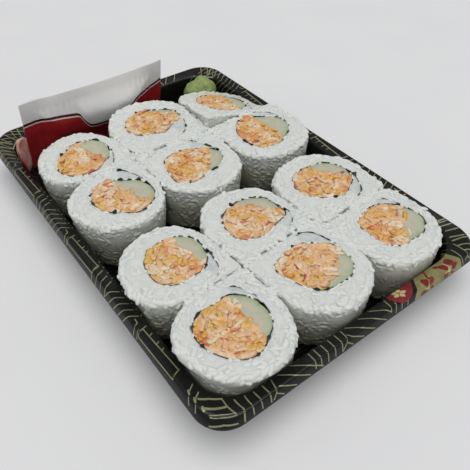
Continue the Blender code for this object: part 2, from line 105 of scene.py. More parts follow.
# Rows run from the far end to the near end. Angles are as seen from above, in degrees.
ROLLS = (
    Roll(1, 43.5, 51.9, 22.4, 24.0, 45.8, 52.4, -10, 4.0, 1.2, 70, 2.0, True, -0.26, -0.14),
    Roll(2, 1.0, 53.9, 23.7, 26.3, 2.0, 55.4, 40, 7.6, 3.2, 70, 5.2, True, 0.0, 0.0),
    Roll(4, -42.3, 49.9, 20.9, 25.6, -42.5, 49.6, 14, 5.0, 1.4, 62, 2.2, True, 0.0, 0.0),
    Roll(3, 44.0, 12.4, 22.5, 26.0, 44.5, 13.6, 0, 2.5, 2.8, 70, 0.9, False, 0.0, 0.0),
    Roll(5, -0.5, 11.4, 22.3, 25.8, 0.0, 11.6, -32, 6.5, 1.6, 68, 5.0, False, 0.0, 0.0),
    Roll(6, -43.0, 10.9, 21.5, 26.2, -40.8, 9.6, 15, 3.5, 2.6, 70, 4.2, False, 0.0, 0.0),
    Roll(7, 38.5, -37.1, 22.6, 26.1, 40.0, -36.1, 34, 5.6, 1.4, 76, 3.4, True, 0.0, 0.0),
    Roll(8, -4.8, -36.1, 21.0, 26.4, -3.2, -36.6, 42, 6.2, 3.6, 60, 1.6, True, 0.0, 0.0),
    Roll(10, -45.0, -38.1, 21.5, 25.7, -42.6, -37.4, 10, 5.6, 1.8, 64, 3.9, True, 0.0, 0.0),
    Roll(9, 40.5, -76.1, 21.5, 25.9, 42.8, -74.2, -31, 5.0, 1.2, 64, 1.4, False, 0.0, 0.0),
    Roll(11, -1.0, -75.1, 22.0, 26.2, 0.0, -73.6, -55, 7.0, 4.2, 76, 1.6, False, 0.0, 0.0),
    Roll(12, -43.7, -77.6, 22.2, 25.8, -44.0, -78.2, 0, 6.0, 2.0, 60, 1.2, False, 0.0, 0.0),
)
# How far the seaweed lies from its ring's middle, every 30 degrees anticlockwise from +X
RINGS = {
    1: (12.9, 13.9, 14.4, 14.5, 14.5, 14.6, 14.6, 14.6, 14.6, 14.7, 15.0, 14.1),
    2: (14.4, 12.2, 10.9, 11.9, 12.9, 14.0, 15.6, 15.3, 13.1, 13.7, 14.3, 15.3),
    3: (13.5, 15.1, 15.5, 15.1, 15.0, 14.3, 14.6, 15.7, 15.8, 13.9, 12.6, 13.2),
    4: (13.9, 14.8, 13.3, 11.1, 9.4, 10.6, 12.4, 15.5, 15.9, 15.5, 15.1, 14.7),
    5: (14.1, 13.6, 12.8, 12.1, 14.1, 15.3, 15.1, 17.5, 14.5, 10.2, 11.6, 12.9),
    6: (12.8, 13.8, 14.1, 14.0, 14.6, 14.7, 13.1, 12.2, 11.5, 13.9, 14.3, 14.1),
    7: (13.5, 13.5, 12.9, 11.5, 13.3, 14.7, 15.4, 14.0, 13.3, 13.7, 14.0, 14.4),
    8: (12.6, 13.7, 12.5, 11.8, 12.0, 13.0, 13.8, 14.9, 13.1, 12.4, 14.7, 16.0),
    9: (12.5, 12.4, 13.0, 11.7, 12.1, 14.1, 12.9, 14.6, 14.7, 13.3, 14.6, 14.7),
    10: (11.8, 13.1, 13.0, 12.1, 12.5, 12.9, 12.9, 14.2, 13.6, 12.1, 14.4, 13.3),
    11: (13.1, 14.2, 15.9, 13.5, 13.5, 16.8, 13.8, 13.1, 13.5, 13.0, 14.4, 14.6),
    12: (13.6, 15.7, 16.9, 13.3, 14.5, 15.2, 13.9, 13.2, 13.7, 14.1, 12.8, 13.5),
}

# The sachet, as the solid has it
SACHET_WIDTH = 82.0
SACHET_HEIGHT = 44.6
SACHET_CENTRE_X = -16.0
SACHET_FOOT_Y = 90.0
SACHET_TOP_Y = 81.4
SACHET_SEAL = 6.0
SACHET_EDGE = 0.5
SACHET_BULGE = 2.9
SACHET_SWELL = 14.0
SACHET_WAVE = 0.7

WASABI_CENTRE = (51.0, 83.0, 13.8)
WASABI_HALF_SIZE = (10.8, 9.1, 11.7)
GINGER_TURN = (142.0, 36.0)
GINGER_DEPTH = 1.25
GINGER_HEIGHT = (12.6, 10.2)


# Meshes


def add_mesh(name, vertices, faces, material=None, smooth=True):
    """An object from points in millimetres."""
    mesh = bpy.data.meshes.new(name)
    mesh.from_pydata([tuple(MM * value for value in vertex) for vertex in vertices], [], faces)
    mesh.validate()
    made = bpy.data.objects.new(name, mesh)
    bpy.context.scene.collection.objects.link(made)
    if material:
        mesh.materials.append(material)
    if smooth:
        mesh.shade_smooth()
    return made


def add_tone(piece, tones):
    """A number at each point, which the piece's material reads for its colour."""
    attribute = piece.data.attributes.new("tone", "FLOAT", "POINT")
    attribute.data.foreach_set("value", np.asarray(tones, dtype=np.float32))


def dress(piece, slot, *nodes):
    """Sets a piece on the tray's body and hides the nodes that it replaces. The slot is not used."""
    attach(piece, "root")
    if nodes:
        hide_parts(*nodes)


def band(lower, upper, count):
    """Side faces between two closed rings of indices."""
    return [
        (lower[i], lower[(i + 1) % count], upper[(i + 1) % count], upper[i])
        for i in range(count)
    ]


def between(knots, place):
    """The value at a place on a line through (place, value) knots."""
    return float(np.interp(place, [knot[0] for knot in knots], [knot[1] for knot in knots]))


def smooth_step(value):
    value = min(max(value, 0.0), 1.0)
    return value * value * (3.0 - 2.0 * value)


def ripple(x, y, z, size):
    """Smooth noise between about -1 and 1 whose lumps measure about the given size."""
    return noise.noise(Vector((x, y, z)) / size)


# Materials


def principled(name, colour, roughness, **sockets):
    """A material and its shader. Sockets are given by name, with _ for a space."""
    material = bpy.data.materials.new(name)
    material.use_nodes = True
    shader = material.node_tree.nodes["Principled BSDF"]
    shader.inputs["Base Color"].default_value = (*colour, 1.0)
    shader.inputs["Roughness"].default_value = roughness
    for key, value in sockets.items():
        shader.inputs[key.replace("_", " ")].default_value = value
    material.diffuse_color = (*colour, 1.0)
    return material


def object_noise(material, size, detail=2.0, stretch=(1.0, 1.0, 1.0)):
    """The output of a noise texture with lumps of a size in millimetres."""
    nodes = material.node_tree.nodes
    links = material.node_tree.links
    place = nodes.new("ShaderNodeTexCoord")
    mapping = nodes.new("ShaderNodeMapping")
    mapping.inputs["Scale"].default_value = [1 / value for value in stretch]
    texture = nodes.new("ShaderNodeTexNoise")
    texture.inputs["Scale"].default_value = 1 / (size * MM)
    texture.inputs["Detail"].default_value = detail
    links.new(place.outputs["Object"], mapping.inputs["Vector"])
    links.new(mapping.outputs["Vector"], texture.inputs["Vector"])
    return texture.outputs["Fac"]


def ramp(material, source, stops):
    """A colour ramp over a value. Each stop is a place and a colour."""
    node = material.node_tree.nodes.new("ShaderNodeValToRGB")
    elements = node.color_ramp.elements
    while len(elements) < len(stops):
        elements.new(0.5)
    for element, (place, colour) in zip(elements, stops):
        element.position = place
        element.color = (*colour, 1.0)
    material.node_tree.links.new(source, node.inputs["Fac"])
    return node.outputs["Color"]


def feed(material, source, socket):
    shader = material.node_tree.nodes["Principled BSDF"]
    material.node_tree.links.new(source, shader.inputs[socket])


def grey(value):
    return (value, value, value)


WHITE = grey(1.0)


def cloudy(material, size, detail, low, high):
    """A colour that drifts between two stops in lumps of a size in millimetres."""
    return ramp(material, object_noise(material, size, detail), (low, high))


def multiply(material, first, second):
    node = material.node_tree.nodes.new("ShaderNodeMix")
    node.data_type = "RGBA"
    node.blend_type = "MULTIPLY"
    node.inputs["Factor"].default_value = 1.0
    material.node_tree.links.new(first, node.inputs["A"])
    material.node_tree.links.new(second, node.inputs["B"])
    return node.outputs["Result"]


def tone_of(material):
    """The number at each point that add_tone left there."""
    node = material.node_tree.nodes.new("ShaderNodeAttribute")
    node.attribute_name = "tone"
    return node.outputs["Fac"]


def add_bump(material, layers):
    """Bump from layers of noise. Each gives its size and depth in millimetres, and its detail."""
    nodes = material.node_tree.nodes
    links = material.node_tree.links
    previous = None
    for size, depth, detail in layers:
        node = nodes.new("ShaderNodeBump")
        node.inputs["Strength"].default_value = 1.0
        node.inputs["Distance"].default_value = depth * MM
        links.new(object_noise(material, size, detail), node.inputs["Height"])
        if previous:
            links.new(previous, node.inputs["Normal"])
        previous = node.outputs["Normal"]
    feed(material, previous, "Normal")


def plastic_material():
    material = principled("black_plastic", (0.006, 0.0065, 0.005), 0.24, Specular_IOR_Level=0.31)
    feed(material, cloudy(material, 14, 3, (0.3, grey(0.20)), (0.7, grey(0.34))), "Roughness")
    add_bump(material, ((11.0, 0.25, 2.0), (2.2, 0.02, 3.0)))
    return material


def ink_material(name, colour, dark, light, size=3.0, low=0.3, roughness=0.34, metallic=0.0):
    """Printed ink, which varies between a dark and a light colour."""
    material = principled(name, colour, roughness, Metallic=metallic)
    feed(material, cloudy(material, size, 3, (low, dark), (0.75, light)), "Base Color")
    return material


def rice_material(name, glow):
    """Cooked rice, whiter on the cut face than down its side, where painted shade darkens it towards the
    foot.
    """
    material = principled(
        name,
        (0.82, 0.835, 0.79),
        0.42,
        Subsurface_Weight=glow,
        Subsurface_Scale=0.003,
        Subsurface_Radius=(1.0, 0.9, 0.72),
        Specular_IOR_Level=0.35,
    )
    colour = cloudy(material, 2.6, 2, (0.3, (0.70, 0.72, 0.685)), (0.7, (0.77, 0.785, 0.735)))
    place = material.node_tree.nodes.new("ShaderNodeTexCoord")
    parts = material.node_tree.nodes.new("ShaderNodeSeparateXYZ")
    material.node_tree.links.new(place.outputs["Object"], parts.inputs["Vector"])
    rise = material.node_tree.nodes.new("ShaderNodeMapRange")
    rise.inputs["From Min"].default_value = 6.0 * MM
    rise.inputs["From Max"].default_value = 27.0 * MM
    material.node_tree.links.new(parts.outputs["Z"], rise.inputs["Value"])
    # Painted shade: the rice gets darker down its side towards the foot, where the tray's black walls and the
    # neighbouring rolls shade it.
    painted_side_shade = ramp(
        material,
        rise.outputs["Result"],
        (
            (0.0, (0.37, 0.35, 0.29)),
            (0.5, (0.60, 0.59, 0.51)),
            (0.8, (0.91, 0.91, 0.87)),
            (1.0, WHITE),
        ),
    )
    thin = ramp(material, tone_of(material), ((0.0, WHITE), (1.0, (0.70, 0.75, 0.79))))
    feed(material, multiply(material, multiply(material, colour, painted_side_shade), thin), "Base Color")
    feed(material, cloudy(material, 1.5, 2, (0.3, grey(0.40)), (0.7, grey(0.56))), "Roughness")
    add_bump(material, ((0.9, 0.05, 2.0),))
    return material


def nori_material():
    material = principled("seaweed", (0.008, 0.011, 0.009), 0.42)
    fibres = object_noise(material, 0.5, 3, (1.0, 1.0, 5.0))
    colour = ramp(material, fibres, ((0.35, (0.005, 0.007, 0.006)), (0.75, (0.020, 0.026, 0.018))))
    feed(material, colour, "Base Color")
    add_bump(material, ((0.6, 0.12, 3.0),))
    return material


def crab_material():
    """Shredded crab stick in its sauce: cream, peach and orange flakes with a few red streaks."""
    material = principled("crab_salad", (0.78, 0.45, 0.22), 0.36)
    flakes = ramp(
        material,
        tone_of(material),
        (
            (0.00, (0.86, 0.73, 0.53)),
            (0.20, (0.84, 0.62, 0.40)),
            (0.45, (0.81, 0.50, 0.28)),
            (0.62, (0.80, 0.52, 0.17)),
            (0.84, (0.76, 0.43, 0.07)),
            (0.93, (0.74, 0.26, 0.18)),
            (1.00, (0.56, 0.09, 0.07)),
        ),
    )
    streaks = cloudy(material, 1.6, 4, (0.35, (0.88, 0.80, 0.74)), (0.62, WHITE))
    feed(material, multiply(material, flakes, streaks), "Base Color")
    add_bump(material, ((0.45, 0.10, 3.0),))
    return material


def avocado_material():
    """Ripe flesh: cream in the middle of the slice and green towards the skin."""
    material = principled(
        "avocado",
        (0.50, 0.53, 0.32),
        0.34,
        Subsurface_Weight=0.25,
        Subsurface_Scale=0.0015,
        Subsurface_Radius=(0.8, 1.0, 0.4),
    )
    flesh = ramp(
        material,
        tone_of(material),
        (
            (0.0, (0.56, 0.54, 0.42)),
            (0.4, (0.52, 0.53, 0.40)),
            (0.75, (0.46, 0.50, 0.34)),
            (1.0, (0.35, 0.42, 0.24)),
        ),
    )
    cloud = cloudy(material, 3.0, 3, (0.3, (0.90, 0.90, 0.86)), (0.7, WHITE))
    feed(material, multiply(material, flesh, cloud), "Base Color")
    add_bump(material, ((1.2, 0.08, 3.0),))
    return material


FILM_BUMP = ((6.0, 0.22, 2.0), (1.4, 0.02, 2.0))


def film_material(name, dark, light, roughness, metallic):
    material = principled(name, light, roughness, Metallic=metallic)
    feed(material, cloudy(material, 9, 2, (0.3, dark), (0.7, light)), "Base Color")
    add_bump(material, FILM_BUMP)
    return material


def silver_film_painted_highlight_material():
    """Silvery film, with a painted highlight that turns it white where it swells."""
    material = principled("silver_film_painted_highlight", (0.6, 0.6, 0.61), 0.32, Metallic=0.05)
    # Painted highlight: the tone whitens the film where it swells.
    colour = ramp(material, tone_of(material), ((0.0, (0.80, 0.79, 0.785)), (1.0, WHITE)))
    feed(material, colour, "Base Color")
    add_bump(material, FILM_BUMP)
    return material


def wasabi_material():
    material = principled(
        "wasabi",
        (0.26, 0.36, 0.10),
        0.48,
        Subsurface_Weight=0.25,
        Subsurface_Scale=0.001,
        Subsurface_Radius=(0.7, 1.0, 0.3),
    )
    colour = cloudy(material, 2.4, 4, (0.3, (0.21, 0.28, 0.075)), (0.7, (0.30, 0.37, 0.12)))
    feed(material, colour, "Base Color")
    add_bump(material, ((1.8, 0.25, 3.0), (0.4, 0.06, 2.0)))
    return material


def ginger_material():
    material = principled(
        "ginger",
        (0.62, 0.26, 0.22),
        0.28,
        Subsurface_Weight=0.4,
        Subsurface_Scale=0.0012,
        Subsurface_Radius=(1.0, 0.5, 0.4),
    )
    fibres = object_noise(material, 1.6, 3, (1.0, 1.0, 5.0))
    blush = ramp(
        material,
        tone_of(material),
        ((0.0, (0.84, 0.66, 0.56)), (0.5, (0.80, 0.44, 0.37)), (1.0, (0.60, 0.15, 0.13))),
    )
    shade = ramp(material, fibres, ((0.3, (0.82, 0.78, 0.76)), (0.7, WHITE)))
    feed(material, multiply(material, blush, shade), "Base Color")
    add_bump(material, ((1.2, 0.12, 3.0),))
    return material


def floor_material():
    material = principled("pale_floor", (0.80, 0.80, 0.80), 0.6, Specular_IOR_Level=0.2)
    feed(material, cloudy(material, 60, 2, (0.3, (0.79, 0.79, 0.795)), (0.7, grey(0.81))), "Base Color")
    return material


# The tray


def corner_radius(inset):
    return TRAY_CORNER + CORNER_GROWTH * inset


def rounded_rectangle(inset):
    """Points round the tray at one inset from its outer lip, anticlockwise."""
    half_x = TRAY_WIDTH / 2 - inset
    half_y = TRAY_LENGTH / 2 - inset
    corner = corner_radius(inset)
    corners = []
    for quarter, (sign_x, sign_y) in enumerate(((1, 1), (-1, 1), (-1, -1), (1, -1))):
        centre_x = sign_x * (half_x - corner)
        centre_y = sign_y * (half_y - corner)
        arc = []
        for step in range(CORNER_STEPS + 1):
            angle = math.radians(90 * quarter + 90 * step / CORNER_STEPS)
            arc.append((centre_x + corner * math.cos(angle), centre_y + corner * math.sin(angle)))
        corners.append(arc)
    points = []
    for arc, following in zip(corners, corners[1:] + corners[:1]):
        points += arc
        start = Vector(arc[-1])
        end = Vector(following[0])
        points += [tuple(start.lerp(end, step / SIDE_STEPS)) for step in range(1, SIDE_STEPS)]
    return points


def cut_corners(points, rounds):
    """A smoother open line, by cutting its corners a few times over."""
    for _ in range(rounds):
        smoother = [points[0]]
        for (x0, y0), (x1, y1) in zip(points, points[1:]):
            smoother.append((0.75 * x0 + 0.25 * x1, 0.75 * y0 + 0.25 * y1))
            smoother.append((0.25 * x0 + 0.75 * x1, 0.25 * y0 + 0.75 * y1))
        smoother.append(points[-1])
        points = smoother
    return points


def tray_profile():
    """Inset and height, from the middle of the floor out to the lip and back underneath, smoothed."""
    first, second, third, fourth = FOOT_INSETS
    lower_floor = FLOOR_HEIGHT - SHEET
    upper = (
        (fourth, FLOOR_HEIGHT),
        (third, lower_floor),
        (second, lower_floor),
        (first, FLOOR_HEIGHT),
        (FLOOR_INSET, FLOOR_HEIGHT),
        (WALL_FOOT_INSET, WALL_FOOT_HEIGHT),
        (WALL_TOP_INSET, WALL_TOP_HEIGHT),
        (LEDGE_INSET, LEDGE_HEIGHT),
        (CREST_INSET + 0.8, CREST_HEIGHT - 0.1),
        (CREST_INSET, CREST_HEIGHT),
        (CREST_INSET - 0.7, CREST_HEIGHT - 0.6),
        (0.0, LIP_HEIGHT),
    )
    under = (
        (0.0, LIP_HEIGHT - SHEET),
        (SHEET, LIP_HEIGHT - SHEET),
        (CREST_INSET + 0.1, CREST_HEIGHT - SHEET - 0.3),
        (CREST_INSET + 0.9, CREST_HEIGHT - SHEET - 0.2),
        (LEDGE_INSET - 0.5, LEDGE_HEIGHT - SHEET - 0.1),
        (WALL_TOP_INSET - SHEET, WALL_TOP_HEIGHT - 0.6),
        (WALL_FOOT_INSET - SHEET, WALL_FOOT_HEIGHT - 0.3),
        (FLOOR_INSET - 0.3, lower_floor),
        (first - 0.3, lower_floor),
        (second - 0.4, 0.0),
        (third + 0.4, 0.0),
        (fourth + 0.3, lower_floor),
    )
    return cut_corners(upper + under, PROFILE_ROUNDS)


def build_tray(material):
    vertices = []
    rings = []
    for inset, height in tray_profile():
        ring = rounded_rectangle(inset)
        rings.append(range(len(vertices), len(vertices) + len(ring)))
        vertices += [(x, y, height) for x, y in ring]
    faces = []
    for lower, following in zip(rings, rings[1:]):
        faces += band(lower, following, len(lower))
    faces.append(tuple(rings[0]))
    faces.append(tuple(rings[-1])[::-1])
    tray = add_mesh("tray_shell", vertices, faces, material)
    turn_outward(tray)
    tray.data.set_sharp_from_angle(angle=math.radians(50))
    dress(tray, "tray_plastic", "tray")


def turn_outward(piece):
    """Makes a closed mesh's faces point out."""
    bm = bmesh.new()
    bm.from_mesh(piece.data)
    bmesh.ops.recalc_face_normals(bm, faces=bm.faces)
    bm.to_mesh(piece.data)
    bm.free()


# The rim's print. A place on it is s, the distance along a side, and t, the distance across the
# profile from the outer lip inwards.


class RimProfile:
    """The upper side of the tray's profile, by the distance from its outer lip."""

    def __init__(self):
        line = tray_profile()
        outermost = min(range(len(line)), key=lambda i: (line[i][0], abs(line[i][1] - LIP_HEIGHT)))
        self.points = [Vector(point) for point in line[: outermost + 1][::-1]]
        self.lengths = [0.0]
        for a, b in zip(self.points, self.points[1:]):
            self.lengths.append(self.lengths[-1] + (b - a).length)

    def at(self, t):
        """Inset, height and the profile's normal."""
        for i in range(len(self.points) - 1):
            if self.lengths[i + 1] >= t:
                break
        run = self.points[i + 1] - self.points[i]
        share = (t - self.lengths[i]) / max(run.length, 1e-6)
        place = self.points[i] + run * share
        normal = Vector((-run.y, run.x)).normalized()
        if normal.y < 0:
            normal = -normal
        return place, normal


RIM = RimProfile()


def rim_place(side, s, inset):
    """A point over the rim and the way that insets grow there, following the corners."""
    long_side = side in ("left", "right")
    half_along = (TRAY_LENGTH if long_side else TRAY_WIDTH) / 2
    half_across = (TRAY_WIDTH if long_side else TRAY_LENGTH) / 2
    corner = corner_radius(inset)
    straight = half_along - inset - corner
    if abs(s) <= straight:
        along = s
        across = half_across - inset
        inward = Vector((0.0, -1.0))
    else:
        reference = corner_radius(PRINT_REFERENCE_INSET)
        end = half_along - PRINT_REFERENCE_INSET + reference * (math.pi / 2 - 1)
        turn = (abs(s) - straight) / (end - straight) * math.pi / 2
        angle = min(turn, math.pi / 2)
        past = max(turn - math.pi / 2, 0.0) * reference
        sign = math.copysign(1.0, s)
        along = sign * (half_along - inset - corner + corner * math.sin(angle))
        across = half_across - inset - corner + corner * math.cos(angle) - past
        inward = Vector((-sign * math.sin(angle), -math.cos(angle)))
    if side == "left":
        return Vector((-across, along)), Vector((-inward.y, inward.x))
    if side == "right":
        return Vector((across, along)), Vector((inward.y, inward.x))
    if side == "near":
        return Vector((along, -across)), Vector((inward.x, -inward.y))
    return Vector((along, across)), inward


def rim_point(side, s, t, lift):
    """A point on the rim, lifted from its surface."""
    place, normal = RIM.at(t)
    plan, inward = rim_place(side, s, place.x)
    plan = plan + inward * normal.x * lift
    x = min(max(plan.x, -TRAY_WIDTH / 2), TRAY_WIDTH / 2)
    y = min(max(plan.y, -TRAY_LENGTH / 2), TRAY_LENGTH / 2)
    return (x, y, place.y + normal.y * lift)


class PrintMesh:
    """Thin printed shapes gathered into one mesh. Each is closed and reaches just into the plastic."""

    def __init__(self):
        self.vertices = []
        self.faces = []

    def grid(self, side, rows, lift):
        """A shape given by rows of (s, t) places, all of one length."""
        columns = len(rows[0])
        start = len(self.vertices)
        for row in rows:
            for s, t in row:
                self.vertices.append(rim_point(side, s, t, lift))
                self.vertices.append(rim_point(side, s, t, -PRINT_LIFT))

        def quad(*corners):
            self.faces.append(tuple(start + 2 * (i * columns + j) + low for i, j, low in corners))

        last = len(rows) - 1
        for i in range(last):
            for j in range(columns - 1):
                for low in (0, 1):
                    quad((i, j, low), (i + 1, j, low), (i + 1, j + 1, low), (i, j + 1, low))
        for i in range(last):
            for j in (0, columns - 1):
                quad((i, j, 0), (i + 1, j, 0), (i + 1, j, 1), (i, j, 1))
        for j in range(columns - 1):
            for i in (0, last):
                quad((i, j, 0), (i, j + 1, 0), (i, j + 1, 1), (i, j, 1))

    def line(self, side, knots, width, lift=PRINT_LIFT):
        """A printed line through (s, t) knots."""
        for (s0, t0), (s1, t1) in zip(knots, knots[1:]):
            length = math.hypot(s1 - s0, t1 - t0)
            steps = max(1, math.ceil(length / 0.7))
            across_s = -(t1 - t0) / length * width / 2
            across_t = (s1 - s0) / length * width / 2
            reach = 0.25 * width / length
            rows = []
            for step in range(steps + 1):
                share = -reach + (1 + 2 * reach) * step / steps
                s = s0 + share * (s1 - s0)
                t = t0 + share * (t1 - t0)
                lower = (s - across_s, max(t - across_t, 0.05))
                upper = (s + across_s, max(t + across_t, 0.06))
                rows.append((lower, upper))
            self.grid(side, rows, lift)

    def flower(self, side, middle, radius, petals, turn, lift, fullness=0.42):
        """Rounded petals round a middle."""
        for petal in range(petals):
            angle = turn + 2 * math.pi * petal / petals
            rows = []
            for step in range(9):
                share = step / 8
                reach = radius * (0.12 + 0.88 * share)
                half = fullness * radius * math.sin(math.pi * min(share**1.3 * 0.94 + 0.03, 1.0)) + 0.04
                row = []
                for across in (-1, -0.5, 0, 0.5, 1):
                    dip = reach * (1 - 0.10 * across * across)
                    s = middle[0] + dip * math.cos(angle) - across * half * math.sin(angle)
                    t = middle[1] + dip * math.sin(angle) + across * half * math.cos(angle)
                    row.append((s, max(t, 0.06 + 0.01 * across)))
                rows.append(row)
            self.grid(side, rows, lift)

    def petal(self, side, start, end, half, lift):
        """An oval between two places."""
        length = math.hypot(end[0] - start[0], end[1] - start[1])
        across_s = -(end[1] - start[1]) / length
        across_t = (end[0] - start[0]) / length
        rows = []
        for step in range(11):
            share = step / 10
            width = half * math.sin(math.pi * (0.04 + 0.92 * share)) ** 0.8
            row = []
            for across in (-1, -0.5, 0, 0.5, 1):
                s = start[0] + share * (end[0] - start[0]) + across * width * across_s
                t = start[1] + share * (end[1] - start[1]) + across * width * across_t
                row.append((s, max(t, 0.06 + 0.01 * across)))
            rows.append(row)
        self.grid(side, rows, lift)

    def finish(self, name, material, slot):
        piece = add_mesh(name, self.vertices, self.faces, material, smooth=False)
        turn_outward(piece)
        dress(piece, slot)


LINE = 0.46
FINE_LINE = 0.36
FIELD_COLUMNS = 24
# Ends and half widths of the petals of the two red flowers on the near side
PETALS = (
    ((32.8, 6.9), (33.0, 2.5), 1.75), ((37.4, 5.1), (34.5, 2.5), 1.40), ((28.4, 0.7), (32.6, 1.2), 0.95),
    ((36.6, 0.9), (34.4, 1.1), 0.70), ((51.0, 8.8), (48.6, 3.9), 2.00), ((44.4, 7.6), (46.3, 3.4), 1.70),
    ((52.2, 3.9), (48.6, 2.7), 1.30), ((43.0, 1.1), (46.4, 1.9), 1.20), ((49.6, 0.9), (47.5, 1.4), 0.70),
    ((42.4, 8.6), (44.4, 7.2), 0.95),
)


def print_long_side(lines, side, starts):
    """The lattice of a long side: a long box, a step, then two fans of slanted lines, over and over."""
    for start in starts:
        box_end = start + 24.5
        lines.line(side, ((start, 3.3), (box_end - 1.5, 2.4)), LINE)
        lines.line(side, ((start, 3.3), (start + 2.4, 8.0)), LINE)
        lines.line(side, ((start + 2.4, 7.6), (box_end, 6.1)), LINE * 1.15)
        lines.line(side, ((box_end - 1.5, 2.4), (box_end, 6.1), (box_end + 1.0, 8.2)), LINE)
        for offset in (12.2, 15.6, 20.2):
            t = 7.6 - 1.5 * (offset - 2.4) / 22.1
            lines.line(side, ((start + offset, t), (start + offset + 1.2, 8.4)), FINE_LINE)
        hook = ((1.4, 0.8), (2.0, 3.6), (3.4, 5.8), (5.6, 6.0))
        lines.line(side, [(box_end + s, t) for s, t in hook], LINE)
        lines.line(side, ((box_end + 0.4, 4.6), (box_end - 1.2, 1.0)), FINE_LINE)
        for step in range(5):
            top = start + 32.0 + 3.75 * step
            lines.line(side, ((top + 2.0, 0.5), (top + 0.4, 4.0), (top - 0.8, 8.2)), LINE)
            lines.line(side, ((top - 1.0, 9.2), (top + 3.4, 15.0)), FINE_LINE)
        for step in range(4):
            top = start + 50.0 + 3.75 * step
            lines.line(side, ((top - 1.0, 0.5), (top, 3.9), (top + 3.0, 8.2)), LINE)
            lines.line(side, ((top + 4.6, 9.2), (top + 8.6, 14.6)), FINE_LINE)


# Lines of the near side: each is its width as a share of LINE and its (s, t) knots
NEAR_LINES = (
    (1.2, (-60.0, 0.8), (-59.3, 3.2), (-58.4, 5.2), (-59.4, 8.6)),
    (1.0, (-47.6, 1.2), (-46.0, 3.0), (-43.2, 0.8)),
    (1.0, (-46.0, 3.0), (-45.0, 6.0), (-44.0, 9.2)),
    (1.0, (-37.5, 0.8), (-44.0, 4.6)),
    (1.0, (-31.0, 0.8), (-37.0, 4.5), (-41.0, 9.2)),
    (1.0, (-24.8, 0.8), (-31.0, 4.8), (-35.0, 9.4)),
    (1.0, (-28.2, 1.6), (-26.6, 9.2)),
    (1.0, (-15.0, 0.8), (-12.3, 3.0), (-9.8, 0.8)),
    (1.0, (-12.3, 3.0), (-11.2, 6.0), (-10.4, 9.2)),
    (1.0, (-4.0, 0.8), (-9.6, 4.0), (-10.6, 5.8)),
    (1.0, (2.0, 0.8), (-4.0, 4.5), (-8.0, 9.2)),
    (1.0, (8.5, 0.8), (3.0, 4.5), (-1.0, 9.2)),
    (1.0, (11.5, 2.6), (8.0, 6.0), (5.0, 9.2)),
    (1.0, (11.5, 2.6), (13.6, 9.2)),
    (1.0, (13.8, 0.8), (15.0, 5.0)),
    (1.0, (17.2, 0.8), (17.7, 3.0)),
    (1.0, (20.7, 0.8), (21.2, 2.5)),
    (1.0, (56.0, 0.8), (55.8, 3.8), (56.6, 5.8), (58.4, 8.9)),
    (1.0, (57.6, 2.4), (59.4, 3.2), (60.8, 5.9), (62.6, 8.4)),
    (1.0, (62.0, 7.4), (63.8, 6.1), (66.6, 3.0)),
    (1.0, (60.8, 5.2), (62.2, 4.2), (64.4, 1.4)),
    (1.0, (59.4, 3.0), (61.4, 0.8)),
    (1.0, (64.6, 8.6), (67.2, 6.5), (70.8, 2.9)),
)
# The box of bars in the near left corner, in the same form
CORNER_LINES = (
    (1.0, (-73.6, 6.1), (-68.6, 7.9), (-63.6, 8.9)),
    (1.3, (-63.6, 8.9), (-62.8, 6.8), (-61.4, 4.5)),
    (1.2, (-70.8, 4.9), (-63.0, 6.7)),
    (1.7, (-69.6, 3.6), (-65.8, 4.2), (-61.4, 4.4)),
    (1.2, (-70.4, 0.7), (-66.0, 1.8), (-62.0, 1.5)),
    (1.0, (-76.2, 8.6), (-78.2, 5.3), (-78.0, 2.1)),
    (1.0, (-73.0, 8.0), (-74.4, 6.1), (-75.0, 2.1)),
)


def print_near_side(lines):
    for width, *knots in NEAR_LINES:
        lines.line("near", knots, LINE * width)
    for s in (-55.6, -52.0, -48.2):
        lines.line("near", ((s - 0.5, 1.0), (s, 4.9), (s + 0.3, 9.2)), LINE * 1.1)
    for s in (-25.6, -22.2, -18.7, -15.2):
        lines.line("near", ((s, 0.8), (s + 1.6, 9.2)), LINE)
    for s in (-61.0, -55.0, -46.0, -38.0, -31.0, -24.0, -18.0, -9.0, -2.0, 5.0, 11.0):
        lines.line("near", ((s, 9.9), (s + 3.4, 15.0)), FINE_LINE)
    for s in (58.0, 62.5):
        lines.line("near", ((s, 9.9), (s + 3.2, 14.6)), FINE_LINE)


def print_corners(lines):
    """Nested chevrons that turn each corner, and a box of bars in the near left one."""
    for width, *knots in CORNER_LINES:
        lines.line("near", knots, LINE * width)
    # Painted highlights: three small gold dots on the crest in the near left corner, where it catches the
    # light.
    for s, t in ((-78.2, 5.2), (-75.0, 5.1), (-71.6, 4.6)):
        lines.petal("near", (s - 0.8, t), (s + 0.8, t), 0.6, PRINT_LIFT * 1.4)
    for sign in (-1, 1):
        for s in (63.6, 67.6, 71.4):
            knots = ((sign * (s + 2.0), 0.8), (sign * (s + 0.4), 4.4), (sign * (s - 1.6), 9.2))
            lines.line("far", knots, LINE)
        lines.line("far", ((sign * 61.6, 9.6), (sign * 66.0, 9.9), (sign * 70.4, 9.6)), LINE)
    for side, sign in (("left", 1), ("right", -1), ("right", 1)):
        for s in (84.3, 88.0, 91.4, 95.6):
            knots = ((sign * (s + 1.6), 0.8), (sign * s, 4.4), (sign * (s - 2.6), 8.8))
            lines.line(side, knots, LINE * 1.25)


def print_far_side(lines):
    """The far side repeats the near side's fans in a plainer row."""
    side = "far"
    for start in (-60.0, -22.0, 16.0):
        for step in range(5):
            s = start + 3.4 * step
            lines.line(side, ((s + 1.6, 0.8), (s + 0.4, 4.4), (s - 0.4, 9.0)), LINE)
        for step in range(3):
            s = start + 19.0 + 6.2 * step
            lines.line(side, ((s + 4.0, 0.8), (s - 1.6, 4.5), (s - 5.0, 9.2)), LINE)
        lines.line(side, ((start + 14.4, 0.8), (start + 17.0, 3.0), (start + 19.8, 0.8)), LINE)
        lines.line(side, ((start + 17.0, 3.0), (start + 18.6, 9.2)), LINE)


